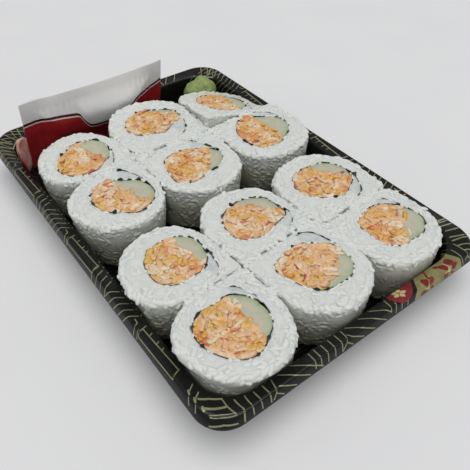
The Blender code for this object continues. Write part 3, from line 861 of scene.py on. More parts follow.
def print_field(mesh, left, right, start, end, lift):
    """A field of colour on the near side between two edges, which are given as (t, s) knots."""
    rows = []
    count = math.ceil((end - start) / 0.45)
    for step in range(count + 1):
        t = start + (end - start) * step / count
        s0 = between(left, t)
        s1 = between(right, t)
        rows.append([(s0 + (s1 - s0) * j / FIELD_COLUMNS, t) for j in range(FIELD_COLUMNS + 1)])
    mesh.grid("near", rows, lift)


def build_print():
    gold = ink_material(
        "gold_print", (0.27, 0.27, 0.15), (0.20, 0.20, 0.11), (0.36, 0.36, 0.20), 5.0, 0.25, metallic=0.3
    )
    lines = PrintMesh()
    print_long_side(lines, "left", (-79.0, -18.0, 43.0))
    print_long_side(lines, "right", (-86.0, -25.0, 36.0))
    print_near_side(lines)
    print_far_side(lines)
    print_corners(lines)
    lines.finish("rim_print_lines", gold, "print_gold")

    olive = PrintMesh()
    left = ((0, 24.6), (3, 26.4), (6, 28.6), (9.5, 31.6), (15.5, 37.0))
    right = ((0, 54.8), (9.5, 54.8), (15.5, 61.0))
    print_field(olive, left, right, 0.1, 15.5, PRINT_LIFT)
    olive_ink = ink_material(
        "olive_print", (0.26, 0.28, 0.10), (0.18, 0.175, 0.05), (0.32, 0.29, 0.125), 4.0, 0.3, 0.36, 0.1
    )
    olive.finish("rim_print_panel", olive_ink, "print_gold")

    red = PrintMesh()
    left = ((2.4, 20.0), (2.9, 18.4), (3.8, 16.8), (5.2, 15.4), (7.5, 15.0), (10.0, 15.8), (15.5, 21.0))
    right = ((2.4, 20.8), (2.9, 22.6), (3.8, 24.2), (6.0, 26.6), (9.5, 29.8), (15.5, 34.4))
    print_field(red, left, right, 2.4, 15.5, PRINT_LIFT * 1.3)
    light = (0.28, 0.012, 0.022)
    red.finish("rim_print_round", ink_material("red_print", light, (0.16, 0.006, 0.012), light), "print_red")

    petals = PrintMesh()
    for start, end, half in PETALS:
        petals.petal("near", start, end, half, PRINT_LIFT * 2.0)
    petals.line("near", ((38.2, 9.9), (34.9, 4.6)), 0.8, PRINT_LIFT * 2.0)
    petals.flower("near", (51.5, 13.0), 3.6, 5, 0.2, PRINT_LIFT * 2.0)
    light = (0.24, 0.012, 0.012)
    dark_red = ink_material("dark_red_print", light, (0.13, 0.006, 0.006), light)
    petals.finish("rim_print_petals", dark_red, "print_red")

    pale = PrintMesh()
    pale.flower("near", (20.6, 7.8), 3.4, 5, 0.9, PRINT_LIFT * 2.2, 0.30)
    pale.flower("near", (33.6, 1.6), 0.8, 5, 1.1, PRINT_LIFT * 2.6)
    pale.flower("near", (47.0, 2.8), 0.9, 5, 0.5, PRINT_LIFT * 2.6)
    for middle, tips in (
        ((33.6, 1.6), ((34.6, 4.8), (31.2, 2.0))),
        ((47.0, 2.8), ((44.4, 2.4), (47.2, 7.2), (48.6, 4.0), (45.9, 3.0))),
    ):
        for tip in tips:
            pale.line("near", (middle, tip), 0.4, PRINT_LIFT * 2.6)
    light = (0.60, 0.54, 0.24)
    pale.finish("rim_print_pale", ink_material("pale_print", light, (0.42, 0.36, 0.13), light), "print_gold")


# Shapes of the rolls, worked out as for the solids


def wall_inset(height):
    """Inset of the tray's inner wall at a height, or None above the rim."""
    if height > CREST_HEIGHT + RIM_CLEAR:
        return None
    if height > WALL_TOP_HEIGHT:
        return WALL_TOP_INSET
    if height < WALL_FOOT_HEIGHT:
        share = (WALL_FOOT_HEIGHT - height) / (WALL_FOOT_HEIGHT - FLOOR_HEIGHT)
        return WALL_FOOT_INSET + share * (FLOOR_INSET - WALL_FOOT_INSET)
    share = (height - WALL_FOOT_HEIGHT) / (WALL_TOP_HEIGHT - WALL_FOOT_HEIGHT)
    return WALL_FOOT_INSET + share * (WALL_TOP_INSET - WALL_FOOT_INSET)


def soft_minimum(values, sharpness=2.5):
    smallest = min(values)
    total = sum(math.exp(-sharpness * (value - smallest)) for value in values)
    return smallest - math.log(total) / sharpness


def free_radius(roll, angle):
    """How far a roll's rice reaches where nothing holds it in."""
    wave = 0.35 * math.sin(3 * angle + roll.number) + 0.3 * math.sin(5 * angle + 2.1 * roll.number)
    radius = roll.radius + FREE_RELIEF / 2 + wave
    for x, y in JUNCTIONS:
        across = x - roll.x
        along = y - roll.y
        distance = math.hypot(across, along)
        if distance < JUNCTION_REACH:
            turn = math.degrees(angle - math.atan2(along, across))
            turn = (turn + 180) % 360 - 180
            radius += (distance + 1 - roll.radius) * math.exp(-((turn / JUNCTION_TURN) ** 2))
    return radius


def neighbour_limits(roll, angle):
    """How far a roll may reach in a direction before it meets each of its neighbours."""
    limits = []
    for other in ROLLS:
        across = other.x - roll.x
        along = other.y - roll.y
        distance = math.hypot(across, along)
        if other is roll or distance > NEIGHBOUR_REACH:
            continue
        facing = math.cos(angle - math.atan2(along, across))
        share = (distance**2 + roll.radius**2 - other.radius**2) / (2 * distance)
        if facing > 0.05:
            limits.append((share - GAP * 0.6) / facing)
    return limits


def wall_limits(roll, angle, height):
    """How far a roll may reach in a direction before it meets the tray's walls and corners."""
    inset = wall_inset(height)
    if inset is None:
        return []
    limits = []
    room_x = TRAY_WIDTH / 2 - inset - GAP
    room_y = TRAY_LENGTH / 2 - inset - GAP
    go_x = math.cos(angle)
    go_y = math.sin(angle)
    for facing, room in (
        (go_x, room_x - roll.x), (-go_x, room_x + roll.x), (go_y, room_y - roll.y), (-go_y, room_y + roll.y)
    ):
        if facing > 0.05:
            limits.append(room / facing)
    corner = corner_radius(inset) - GAP
    for sign_x, sign_y in ((1, 1), (-1, 1), (-1, -1), (1, -1)):
        away_x = roll.x - sign_x * (room_x - corner)
        away_y = roll.y - sign_y * (room_y - corner)
        slant = go_x * away_x + go_y * away_y
        inner = slant**2 - away_x**2 - away_y**2 + corner**2
        if inner < 0:
            continue
        reach = math.sqrt(inner) - slant
        if sign_x * (away_x + reach * go_x) > 0 and sign_y * (away_y + reach * go_y) > 0:
            limits.append(reach)
    return limits


def outline_radius(roll, angle, height):
    """Distance from a roll's middle to its rice edge, pressed flat against neighbours and walls."""
    limits = [free_radius(roll, angle)]
    limits += neighbour_limits(roll, angle)
    limits += wall_limits(roll, angle, height)
    return soft_minimum(limits)


def pressed_share(roll, angle, height):
    """1 where neighbours or walls hold a roll's rice in, 0 where it stands free."""
    limits = neighbour_limits(roll, angle) + wall_limits(roll, angle, height)
    room = min(limits, default=100.0) - free_radius(roll, angle)
    return smooth_step(0.5 - room / 3)


def cut_height(roll, x, y):
    """Height of the cut face, which slopes on a roll that leans."""
    return ROLL_FLOOR + roll.height + roll.tilt_x * (x - roll.x) + roll.tilt_y * (y - roll.y)


def ring_radius(roll, degrees):
    """The ring's radius in a direction, smooth between the values of its table."""
    radii = RINGS[roll.number]
    first = math.floor(degrees / 30)
    share = degrees / 30 - first
    before, here, after, beyond = (radii[(first + step) % 12] for step in (-1, 0, 1, 2))
    bend = 2 * before - 5 * here + 4 * after - beyond
    twist = 3 * (here - after) + beyond - before
    return here + share / 2 * (after - before + share * (bend + share * twist))


def lap_radius(roll, degrees):
    """Distance of the seaweed from the ring's middle. Past a full turn it is the outer lap."""
    radius = ring_radius(roll, -degrees if roll.mirrored else degrees)
    inner_share = (degrees - LAP_START) / CRESCENT_SPAN
    if inner_share < 1:
        radius -= roll.crescent * math.sin(math.pi * inner_share) ** 2
    passing = 360 + LAP_START
    radius += LAP_STEP * smooth_step((degrees - passing + 70) / 70)
    radius += roll.tail_flare * smooth_step((degrees - passing - 15) / 45)
    return radius


def ring_point(roll, degrees, outward):
    """A point of the seaweed's path, moved outward from its middle line."""
    angle = math.radians(degrees)
    radius = lap_radius(roll, degrees) + outward
    side = -1 if roll.mirrored else 1
    return (roll.ring_x + radius * math.cos(angle), roll.ring_y + side * radius * math.sin(angle))


def spread(first, last, step):
    """Angles from first to last, both included, about one step apart."""
    count = max(1, round((last - first) / step))
    return [first + (last - first) * i / count for i in range(count + 1)]


def clip(outline, normal, offset):
    """The part of an outline on the low side of a line."""
    kept = []
    for i, (x, y) in enumerate(outline):
        next_x, next_y = outline[(i + 1) % len(outline)]
        here = x * normal[0] + y * normal[1] - offset
        there = next_x * normal[0] + next_y * normal[1] - offset
        if here <= 0:
            kept.append((x, y))
        if (here < 0) != (there < 0):
            share = here / (here - there)
            kept.append((x + share * (next_x - x), y + share * (next_y - y)))
    return kept


def inside(outline, x, y):
    """Whether a point lies inside an outline."""
    crossings = False
    previous_x, previous_y = outline[-1]
    for next_x, next_y in outline:
        if (next_y > y) != (previous_y > y):
            if x < (previous_x - next_x) * (y - next_y) / (previous_y - next_y) + next_x:
                crossings = not crossings
        previous_x, previous_y = next_x, next_y
    return crossings


def nearest(points, x, y):
    """Distance to the nearest of an outline's points, and its place in the outline."""
    away = np.hypot(points[:, 0] - x, points[:, 1] - y)
    place = int(np.argmin(away))
    return float(away[place]), place


BORDER_MARGIN = 0.45  # how near an outline a filling point may lie, as a share of their spacing


def fill_plan(outline, hole, spacing, draw):
    """Triangles over an outline with an optional hole: points, triangles and each border point's index."""
    points = [Vector(point) for point in outline]
    edges = [(i, (i + 1) % len(outline)) for i in range(len(outline))]
    if hole:
        start = len(points)
        points += [Vector(point) for point in hole]
        edges += [(start + i, start + (i + 1) % len(hole)) for i in range(len(hole))]
    borders = len(points)
    border = np.array([tuple(point) for point in points])
    low = border.min(0)
    high = border.max(0)
    if spacing:
        for column in range(int((high[0] - low[0]) / spacing) + 1):
            for row in range(int((high[1] - low[1]) / spacing) + 1):
                x = low[0] + spacing * (column + draw.uniform(0.2, 0.8))
                y = low[1] + spacing * (row + draw.uniform(0.2, 0.8))
                if nearest(border, x, y)[0] < spacing * BORDER_MARGIN or not inside(outline, x, y):
                    continue
                if hole and inside(hole, x, y):
                    continue
                points.append(Vector((x, y)))
    result = geometry.delaunay_2d_cdt(points, edges, [], 0, 1e-5, True)
    places, triangles, origins = result[0], result[2], result[3]
    kept = []
    for triangle in triangles:
        x = sum(places[i].x for i in triangle) / 3
        y = sum(places[i].y for i in triangle) / 3
        if inside(outline, x, y) and not (hole and inside(hole, x, y)):
            kept.append(tuple(triangle))
    found = {}
    for index, sources in enumerate(origins):
        for source in sources:
            if source < borders:
                found[source] = index
    return [(place.x, place.y) for place in places], kept, [found[i] for i in range(borders)]


def slab(name, outline, hole, top, foot, spacing, draw, material, rings=()):
    """A closed piece over an outline. Rings, bottom to top, give its outer side; the last is the outline."""
    plan, triangles, border = fill_plan(outline, hole, spacing, draw)
    vertices = [(x, y, top(x, y)) for x, y in plan]
    faces = list(triangles)
    rim = border[: len(outline)]
    levels = []
    for ring in rings:
        levels.append(range(len(vertices), len(vertices) + len(ring)))
        vertices += ring
    if not rings:
        levels.append(range(len(vertices), len(vertices) + len(outline)))
        vertices += [(x, y, foot) for x, y in outline]
    levels.append(rim)
    for lower, upper in zip(levels, levels[1:]):
        faces += band(lower, upper, len(outline))
    bottom_outline = [vertices[i][:2] for i in levels[0]]
    hole_foot = None
    if hole:
        hole_rim = border[len(outline):]
        hole_foot = range(len(vertices), len(vertices) + len(hole))
        vertices += [(x, y, foot) for x, y in hole]
        faces += band(hole_foot, hole_rim, len(hole))
    _, low_triangles, low_border = fill_plan(bottom_outline, hole, None, draw)
    low_index = {}
    for source, index in enumerate(low_border):
        if source < len(outline):
            low_index[index] = levels[0][source]
        else:
            low_index[index] = hole_foot[source - len(outline)]
    faces += [tuple(low_index[i] for i in triangle)[::-1] for triangle in low_triangles]
    piece = add_mesh(name, vertices, faces, material)
    turn_outward(piece)
    return piece


# Grains and flakes


def capsule(around, phases, bluntness, bend):
    """A unit grain along X, from -1 to 1, with its width and height also from -1 to 1."""
    vertices = [(-1.0, bend, 0.0)]
    for phase in phases:
        angle = math.radians(phase)
        along = math.sin(angle)
        girth = math.cos(angle) ** bluntness
        for step in range(around):
            turn = 2 * math.pi * step / around
            vertices.append((along, girth * math.cos(turn) + bend * along * along, girth * math.sin(turn)))
    vertices.append((1.0, bend, 0.0))
    faces = []
    for step in range(around):
        faces.append((0, 1 + (step + 1) % around, 1 + step))
    for ring in range(len(phases) - 1):
        start = 1 + ring * around
        for step in range(around):
            following = (step + 1) % around
            faces.append((start + step, start + following, start + around + following, start + around + step))
    last = len(vertices) - 1
    start = 1 + (len(phases) - 1) * around
    for step in range(around):
        faces.append((start + step, start + (step + 1) % around, last))
    return np.array(vertices), faces


GRAIN = capsule(8, (-60, -30, 0, 30, 60), 0.8, 0.10)
FLAKE = capsule(6, (-64, -34, 0, 34, 64), 0.55, 0.22)


class Heap:
    """Many small things in one mesh."""

    def __init__(self, shape):
        self.shape = shape
        self.blocks = []
        self.tones = []

    def add(self, centre, along, normal, size, tone=0.0, shape_change=None):
        """One thing, by its middle, its long direction, its outward normal and its three sizes."""
        along = along.normalized()
        normal = (normal - along * normal.dot(along)).normalized()
        side = normal.cross(along)
        axes = np.array((along, side, normal))
        block = (self.shape[0] * (np.array(size) / 2)) @ axes + np.array(centre)
        if shape_change:
            block = shape_change(block)
        self.blocks.append(block)
        self.tones.append(tone)

    def finish(self, name, material, slot, *nodes):
        count = len(self.shape[0])
        vertices = np.concatenate(self.blocks)
        faces = []
        for i in range(len(self.blocks)):
            start = i * count
            faces += [tuple(start + corner for corner in face) for face in self.shape[1]]
        piece = add_mesh(name, vertices.tolist(), faces, material)
        add_tone(piece, np.repeat(self.tones, count))
        dress(piece, slot, *nodes)


# Rice


SEEDS = {"core": 2000, "grains": 3000, "crab": 5000, "avocado": 6000, "ginger": 7000}
CORE_SIDES = 90
CORE_SHARES = (0.0, 0.04, 0.1, 0.2, 0.3, 0.42, 0.54, 0.66, 0.78, 0.87, 0.93, 0.97)
CORE_INSET = 0.4  # how deep the core lies under the grains
CORE_TOP_INSET = 1.0
CORE_RELIEF = 0.30
TOP_SINK = 0.04


def slope_at(roll, angle):
    return roll.tilt_x * math.cos(angle) + roll.tilt_y * math.sin(angle)


def side_point(roll, angle, share, depth):
    """A point of the rice's side, some depth under its surface."""
    height = ROLL_FLOOR + share * roll.height
    edge_height = height + share * slope_at(roll, angle) * free_radius(roll, angle)
    rounding = between(ROLL_LEVELS, share)
    rounding *= 1 - 0.85 * pressed_share(roll, angle, edge_height)
    radius = outline_radius(roll, angle, edge_height) - rounding - depth
    lift = share * slope_at(roll, angle) * radius
    return (roll.x + radius * math.cos(angle), roll.y + radius * math.sin(angle), height + lift)


def nori_path(roll, outward, first, last, step=3.0):
    return [ring_point(roll, degrees, outward) for degrees in spread(first, last, step)]


def filling_hole(roll, clear):
    """The space of the filling and the slot of the seaweed's tail, kept inside the rice's edge."""
    closed = LAP_START + 10
    end = 360 + roll.tail_end
    out = nori_path(roll, clear, closed, end + 1)
    back = nori_path(roll, -clear, 360 + closed, end + 1)
    points = []
    for place, margin in [(place, 0.7) for place in out] + [(place, 0.7 + 2 * clear) for place in back[::-1]]:
        away = Vector(place) - Vector((roll.x, roll.y))
        angle = math.atan2(away.y, away.x)
        rims = [side_point(roll, angle, share, CORE_TOP_INSET)[:2] for share in (0.0, 1.0)]
        room = min((Vector(rim) - Vector((roll.x, roll.y))).length for rim in rims) - margin
        if away.length > room:
            away *= room / away.length
        points.append((roll.x + away.x, roll.y + away.y))
    return points


def build_rice_core(roll, material):
    draw = random.Random(SEEDS["core"] + roll.number)
    angles = [2 * math.pi * side / CORE_SIDES for side in range(CORE_SIDES)]
    rings = []
    for share in CORE_SHARES:
        ring = []
        for angle in angles:
            x, y, z = side_point(roll, angle, share, CORE_INSET)
            bump = CORE_RELIEF * ripple(x, y, z, 2.2) + 0.5 * ripple(x, y, z, 7.0) - 0.1
            ring.append((x + bump * math.cos(angle), y + bump * math.sin(angle), z))
        rings.append(ring)
    outline = []
    for angle in angles:
        inset = CORE_TOP_INSET * (1 - 0.8 * pressed_share(roll, angle, OVER_RIM))
        outline.append(side_point(roll, angle, 1.0, inset)[:2])
    rim_points = np.array(outline)
    hole = filling_hole(roll, 0.24)
    hole_points = np.array(hole)

    def top(x, y):
        relief = 0.22 * ripple(x, y, 40.0, 2.4) + 0.10 * ripple(x, y, 90.0, 1.0)
        close = nearest(hole_points, x, y)[0]
        pressed = pressed_share(roll, math.atan2(y - roll.y, x - roll.x), OVER_RIM)
        drop = 0.5 * (1 - 0.8 * pressed) * math.exp(-nearest(rim_points, x, y)[0] / 0.9)
        return cut_height(roll, x, y) - TOP_SINK * min(close / 1.5, 1.0) - 0.08 - drop + relief

    name = f"rice_core_{roll.number:02d}"
    core = slab(name, outline, hole, top, ROLL_FLOOR, 0.85, draw, material, rings)
    add_tone(core, [0.5 * between_laps(roll, v.co.x / MM, v.co.y / MM) for v in core.data.vertices])
    return core


GRAIN_LENGTH = 5.3
GRAIN_WIDTH = 2.5
GRAIN_THICKNESS = 2.1


def grain_size(draw):
    return (
        GRAIN_LENGTH * draw.uniform(0.78, 1.12),
        GRAIN_WIDTH * draw.uniform(0.88, 1.14),
        GRAIN_THICKNESS * draw.uniform(0.88, 1.12),
    )


def scatter_side_grains(roll, heap, draw):
    """Grains pressed into the side, lying flat on it in all directions."""
    rows = 11
    columns = int(2 * math.pi * roll.radius / 2.7)
    for row in range(rows):
        for column in range(columns):
            share = 0.035 + 0.945 * (row + draw.uniform(0.1, 0.9)) / rows
            angle = 2 * math.pi * (column + 0.5 * (row % 2) + draw.uniform(-0.35, 0.35)) / columns
            surface = Vector(side_point(roll, angle, share, 0.0))
            pressed = pressed_share(roll, angle, surface.z)
            if share < 0.72 and min(neighbour_limits(roll, angle), default=100.0) < free_radius(roll, angle):
                continue
            ahead = Vector(side_point(roll, angle + 0.05, share, 0.0))
            tangent = (ahead - surface).normalized()
            outward = Vector((tangent.y, -tangent.x, 0.0)).normalized()
            rise = smooth_step((share - 0.86) / 0.14) * 0.9
            fall = smooth_step((0.10 - share) / 0.10) * 0.6
            normal = (outward * (1 - 0.4 * rise) + Vector((0, 0, rise - fall))).normalized()
            upward = normal.cross(tangent).normalized()
            turn = draw.uniform(0, math.pi)
            along = tangent * math.cos(turn) + upward * math.sin(turn) + normal * draw.uniform(-0.16, 0.16)
            size = grain_size(draw)
            depth = size[2] / 2 + 0.35 * rise + draw.uniform(0.14, 0.40) + 0.25 * pressed
            centre = surface - outward * depth
            centre.z = min(centre.z, cut_height(roll, centre.x, centre.y) - size[2] / 2 + 0.05)
            heap.add(centre, along, normal, size, shape_change=lambda block: level_block(roll, block))


def scatter_edge_grains(roll, heap, draw):
    """Grains along the top edge that stick out a little and make it ragged."""
    count = int(2 * math.pi * roll.radius / 2.0)
    for step in range(count):
        angle = 2 * math.pi * (step + draw.uniform(0.1, 0.9)) / count
        size = grain_size(draw)
        share = draw.uniform(0.90, 0.97)
        edge = Vector(side_point(roll, angle, share, draw.uniform(1.1, 2.0)))
        outward = Vector((math.cos(angle), math.sin(angle), 0.0))
        tangent = Vector((-outward.y, outward.x, 0.0))
        turn = draw.gauss(0, 0.5)
        along = tangent * math.cos(turn) + outward * math.sin(turn) + Vector((0, 0, draw.uniform(-0.3, 0.1)))
        normal = Vector((0, 0, 1)) + outward * draw.uniform(0.2, 0.9)
        edge.z = min(edge.z, cut_height(roll, edge.x, edge.y) - size[2] / 2 + 0.12)
        beyond = draw.uniform(-0.9, 0.5)
        heap.add(
            edge, along, normal, size,
            shape_change=lambda block: hold_in(roll, level_block(roll, block), beyond)
        )


def hold_in(roll, block, beyond=0.0):
    """Presses a grain in where it would stick out too far beyond the roll's outline."""
    for vertex in block:
        across = vertex[0] - roll.x
        along = vertex[1] - roll.y
        distance = math.hypot(across, along)
        limit = outline_radius(roll, math.atan2(along, across), vertex[2]) - 0.1 + beyond
        if distance > limit:
            share = (limit + 0.2 * (distance - limit)) / distance
            vertex[0] = roll.x + share * across
            vertex[1] = roll.y + share * along
    return block


def torn(x, y):
    """How far the rice stands up where it has torn, in patches."""
    return 1.5 * max(ripple(x, y, 210.0, 7.0) - 0.12, 0.0) * (1 + ripple(x, y, 250.0, 2.2))


def between_laps(roll, x, y):
    """Whether a place lies in the thin rice between the seaweed's two laps."""
    side = -1 if roll.mirrored else 1
    away_x = x - roll.ring_x
    away_y = side * (y - roll.ring_y)
    degrees = math.degrees(math.atan2(away_y, away_x)) % 360
    if not LAP_START < degrees < roll.tail_end:
        return False
    return lap_radius(roll, degrees) < math.hypot(away_x, away_y) < lap_radius(roll, degrees + 360)


def level_block(roll, block, lift=0.0):
    """Keeps a grain under the knife's cut and above the roll's foot."""
    for vertex in block:
        ceiling = cut_height(roll, vertex[0], vertex[1]) + 0.16 + lift
        if vertex[2] > ceiling:
            vertex[2] = ceiling + 0.15 * (vertex[2] - ceiling)
        vertex[2] = max(vertex[2], ROLL_FLOOR)
    return block


def scatter_top_grains(roll, heap, draw):
    """Grains that the knife has cut through, level with the cut face."""
    path = np.array(nori_path(roll, 0.0, LAP_START, 360 + roll.tail_end))
    hole = filling_hole(roll, NORI / 2)
    spacing = 2.15
    steps = int(2 * JUNCTION_REACH / spacing)
    for column in range(-steps // 2, steps // 2 + 1):
        for row in range(-steps // 2, steps // 2 + 1):
            x = roll.x + spacing * (column + 0.5 * (row % 2) + draw.uniform(-0.4, 0.4))
            y = roll.y + spacing * (row + draw.uniform(-0.4, 0.4))
            angle = math.atan2(y - roll.y, x - roll.x)
            rim = Vector(side_point(roll, angle, 1.0, 0.0)[:2])
            room = (rim - Vector((roll.x, roll.y))).length - math.hypot(x - roll.x, y - roll.y)
            away, place = nearest(path, x, y)
            thin = between_laps(roll, x, y)
            nearest_rim = 1.2 - 0.6 * pressed_share(roll, angle, OVER_RIM)
            if room < nearest_rim or away < (0.6 if thin else 1.05) or inside(hole, x, y):
                continue
            heading = draw.uniform(0, math.pi)
            if away < 2.6:
                ahead = path[min(place + 1, len(path) - 1)] - path[max(place - 1, 0)]
                heading = math.atan2(ahead[1], ahead[0]) + draw.uniform(-0.25, 0.25)
            elif room < 2.9:
                heading = angle + math.pi / 2 + draw.uniform(-0.4, 0.4)
            size = grain_size(draw)
            if away < 1.5:
                size = (0.8 * size[0], (0.45 if away < 1.05 else 0.75) * size[1], size[2])
            along = Vector((math.cos(heading), math.sin(heading), draw.uniform(-0.10, 0.10)))
            sink = draw.uniform(-0.12, 0.14)
            lift = torn(x, y) * smooth_step((away - 1.5) / 2)
            if lift > 0.1:
                along.z += draw.uniform(-0.35, 0.35)
            tone = draw.uniform(0.5, 1.0) if thin else 0.0
            centre = Vector((x, y, cut_height(roll, x, y) - size[2] / 2 - sink + lift))
            heap.add(
                centre, along, Vector((0, 0, 1)), size, tone,
                lambda block: hold_in(roll, level_block(roll, block, lift))
            )


def scatter_seam_grains(roll, heap, draw):
    """Grains that stick to the neighbouring rolls and bridge the seam between the tops in places."""
    count = int(2 * math.pi * roll.radius / 1.9)
    for step in range(count):
        angle = 2 * math.pi * (step + draw.uniform(0.1, 0.9)) / count
        x, y, _ = side_point(roll, angle, 1.0, draw.uniform(-0.1, 0.8))
        if pressed_share(roll, angle, OVER_RIM) < 0.9 or ripple(x, y, 300.0, 5.0) < -0.08:
            continue
        heading = draw.uniform(0, math.pi)
        size = (draw.uniform(3.0, 4.8), draw.uniform(1.8, 2.4), 1.7)
        along = Vector((math.cos(heading), math.sin(heading), draw.uniform(-0.1, 0.1)))
        lift = torn(x, y)
        centre = Vector((x, y, cut_height(roll, x, y) - size[2] / 2 + 0.12 + lift))
        heap.add(
            centre, along, Vector((0, 0, 1)), size,
            shape_change=lambda block: hold_in(roll, level_block(roll, block, lift), 1.0)
        )


def scatter_cover_grains(roll, heap, draw):
    """Bits of grain smeared over the seaweed's edge, which leave its line broken."""
    for degrees in spread(LAP_START + 6, 358 + roll.tail_end, 5.0):
        x, y = ring_point(roll, degrees + draw.uniform(-2, 2), draw.uniform(0.1, 0.6))
        if ripple(x, y, 130.0, 2.6) + 0.35 * ripple(x, y, 170.0, 1.1) < 0.02:
            continue
        ahead = Vector(ring_point(roll, degrees + 2, 0.0)) - Vector(ring_point(roll, degrees - 2, 0.0))
        heading = math.atan2(ahead.y, ahead.x) + draw.gauss(0, 0.45)
        size = (draw.uniform(1.8, 3.4), draw.uniform(1.2, 1.9), 1.5)
        along = Vector((math.cos(heading), math.sin(heading), draw.uniform(-0.1, 0.1)))
        centre = Vector((x, y, cut_height(roll, x, y) - size[2] / 2 + 0.16))
        heap.add(centre, along, Vector((0, 0, 1)), size, shape_change=lambda block: level_block(roll, block))


def build_rice(roll, materials):
    draw = random.Random(SEEDS["grains"] + roll.number)
    node = f"rice_{roll.number:02d}"
    dress(build_rice_core(roll, materials["core"]), "rice", node)
    heap = Heap(GRAIN)
    scatter_side_grains(roll, heap, draw)
    scatter_edge_grains(roll, heap, draw)
    scatter_top_grains(roll, heap, draw)
    scatter_cover_grains(roll, heap, draw)
    scatter_seam_grains(roll, heap, draw)
    heap.finish(f"rice_grains_{roll.number:02d}", materials["grains"], "rice", node)


# Seaweed


def build_nori(roll, material):
    """The seaweed's wall, with a torn upper edge that dips under the rice here and there."""
    vertices = []
    rows = 0
    for degrees in spread(LAP_START, 360 + roll.tail_end, 2.5):
        x, y = ring_point(roll, degrees, 0.0)
        bunched = max(ripple(x, y, 5.0, 2.4) - 0.16, 0.0) ** 1.1
        thick = 0.15 + 0.06 * ripple(x, y, 15.0, 1.5) + 1.2 * bunched
        ragged = -0.15 + 0.45 * ripple(x, y, 25.0, 1.3) + 0.40 * ripple(x, y, 60.0, 4.0) + 1.6 * bunched
        for outward, z in ((-thick, 0), (thick, 0), (thick, 1), (-thick, 1)):
            px, py = ring_point(roll, degrees, outward)
            top = cut_height(roll, px, py) + ragged
            vertices.append((px, py, top if z else ROLL_FLOOR))
        rows += 1
    faces = []
    for i in range(rows - 1):
        faces += band(range(4 * i, 4 * i + 4), range(4 * i + 4, 4 * i + 8), 4)
    faces.append((0, 1, 2, 3))
    last = 4 * rows
    faces.append((last - 1, last - 2, last - 3, last - 4))
    piece = add_mesh(f"seaweed_{roll.number:02d}", vertices, faces, material)
    turn_outward(piece)
    piece.data.set_sharp_from_angle(angle=math.radians(40))
    dress(piece, "nori", f"nori_{roll.number:02d}")


# Fillings


def filling_outline(roll):
    """The inner face of the seaweed, anticlockwise."""
    points = nori_path(roll, -0.22, LAP_START, LAP_START + 345, 4.0)
    return points[::-1] if roll.mirrored else points


def crab_height(roll, x, y):
    lumps = 1.0 * ripple(x, y, 10.0, 3.6) + 0.55 * ripple(x, y, 33.0, 1.6)
    return cut_height(roll, x, y) - 0.15 + lumps


def crumple(block):
    """Dents a flake all over, so that no two are alike."""
    for vertex in block:
        x, y, z = vertex
        vertex[0] += 0.75 * ripple(x, y, z, 1.7)
        vertex[1] += 0.75 * ripple(x, y, z + 40.0, 1.7)
        vertex[2] += 0.35 * ripple(x, y, z + 80.0, 1.5)
    return block


def build_crab(roll, outline, whole, cut, material):
    """A lumpy core and the flakes on it, some of which lie over the avocado's edge."""
    draw = random.Random(SEEDS["crab"] + roll.number)
    node = f"crab_{roll.number:02d}"
    core = slab(
        f"crab_core_{roll.number:02d}", outline, None, lambda x, y: crab_height(roll, x, y) + 0.06,
        ROLL_FLOOR, 0.8, draw, material
    )
    add_tone(core, [0.45 + 0.5 * ripple(*(value / MM for value in v.co), 1.8) for v in core.data.vertices])
    dress(core, "crab", node)
    border = np.array(whole)
    low = border.min(0)
    high = border.max(0)
    heap = Heap(FLAKE)
    yellow = draw.uniform(0.36, 0.50)
    wanted = int(0.62 * (high[0] - low[0]) * (high[1] - low[1]) / 2.9)
    while len(heap.blocks) < wanted:
        x = draw.uniform(low[0], high[0])
        y = draw.uniform(low[1], high[1])
        away, place = nearest(border, x, y)
        beyond = x * cut[0][0] + y * cut[0][1] - cut[1] - 1.2 * ripple(x, y, 3.0, 5.0)
        if away < 0.7 or not inside(whole, x, y) or draw.random() > math.exp(-max(beyond, 0.0) / 0.6):
            continue
        length = draw.uniform(2.2, 6.6)
        heading = draw.uniform(0, math.pi)
        if away < length / 2:
            ahead = border[(place + 1) % len(border)] - border[place - 1]
            heading = math.atan2(ahead[1], ahead[0]) + draw.uniform(-0.3, 0.3)
        along = Vector((math.cos(heading), math.sin(heading), draw.uniform(-0.28, 0.28)))
        normal = Vector((draw.uniform(-0.4, 0.4), draw.uniform(-0.4, 0.4), 1))
        size = (length, draw.uniform(1.2, 3.4), draw.uniform(0.8, 1.4))
        cluster = ripple(x, y, 70.0 + roll.number, 4.5)
        tone = min(max(yellow + 0.02 + 1.0 * cluster + draw.gauss(0, 0.11), 0.0), 0.90)
        if draw.random() < 0.06:
            tone = draw.uniform(0.93, 1.0)
            size = (draw.uniform(3.5, 7.5), draw.uniform(0.8, 1.5), draw.uniform(0.7, 1.0))
        centre = Vector((x, y, crab_height(roll, x, y) + draw.uniform(-0.35, 0.15)))
        heap.add(centre, along, normal, size, tone, crumple)
    heap.finish(f"crab_flakes_{roll.number:02d}", material, "crab", node)


def build_avocado(roll, outline, material):
    draw = random.Random(SEEDS["avocado"] + roll.number)
    wall = np.array(nori_path(roll, -NORI / 2, LAP_START, 360 + LAP_START))

    def top(x, y):
        close = nearest(wall, x, y)[0]
        return cut_height(roll, x, y) - 0.1 + 0.22 * ripple(x, y, 50.0, 4.0) - 0.25 * math.exp(-close)

    name = f"avocado_slices_{roll.number:02d}"
    piece = slab(name, outline, None, top, ROLL_FLOOR, 0.8, draw, material)
    tones = []
    for vertex in piece.data.vertices:
        x, y, z = (value / MM for value in vertex.co)
        close = nearest(wall, x, y)[0]
        tones.append(min(max(1.0 - close / 3.6 + 0.25 * ripple(x, y, z, 3.0), 0.0), 1.0))
    add_tone(piece, tones)
    dress(piece, "avocado", f"avocado_{roll.number:02d}")


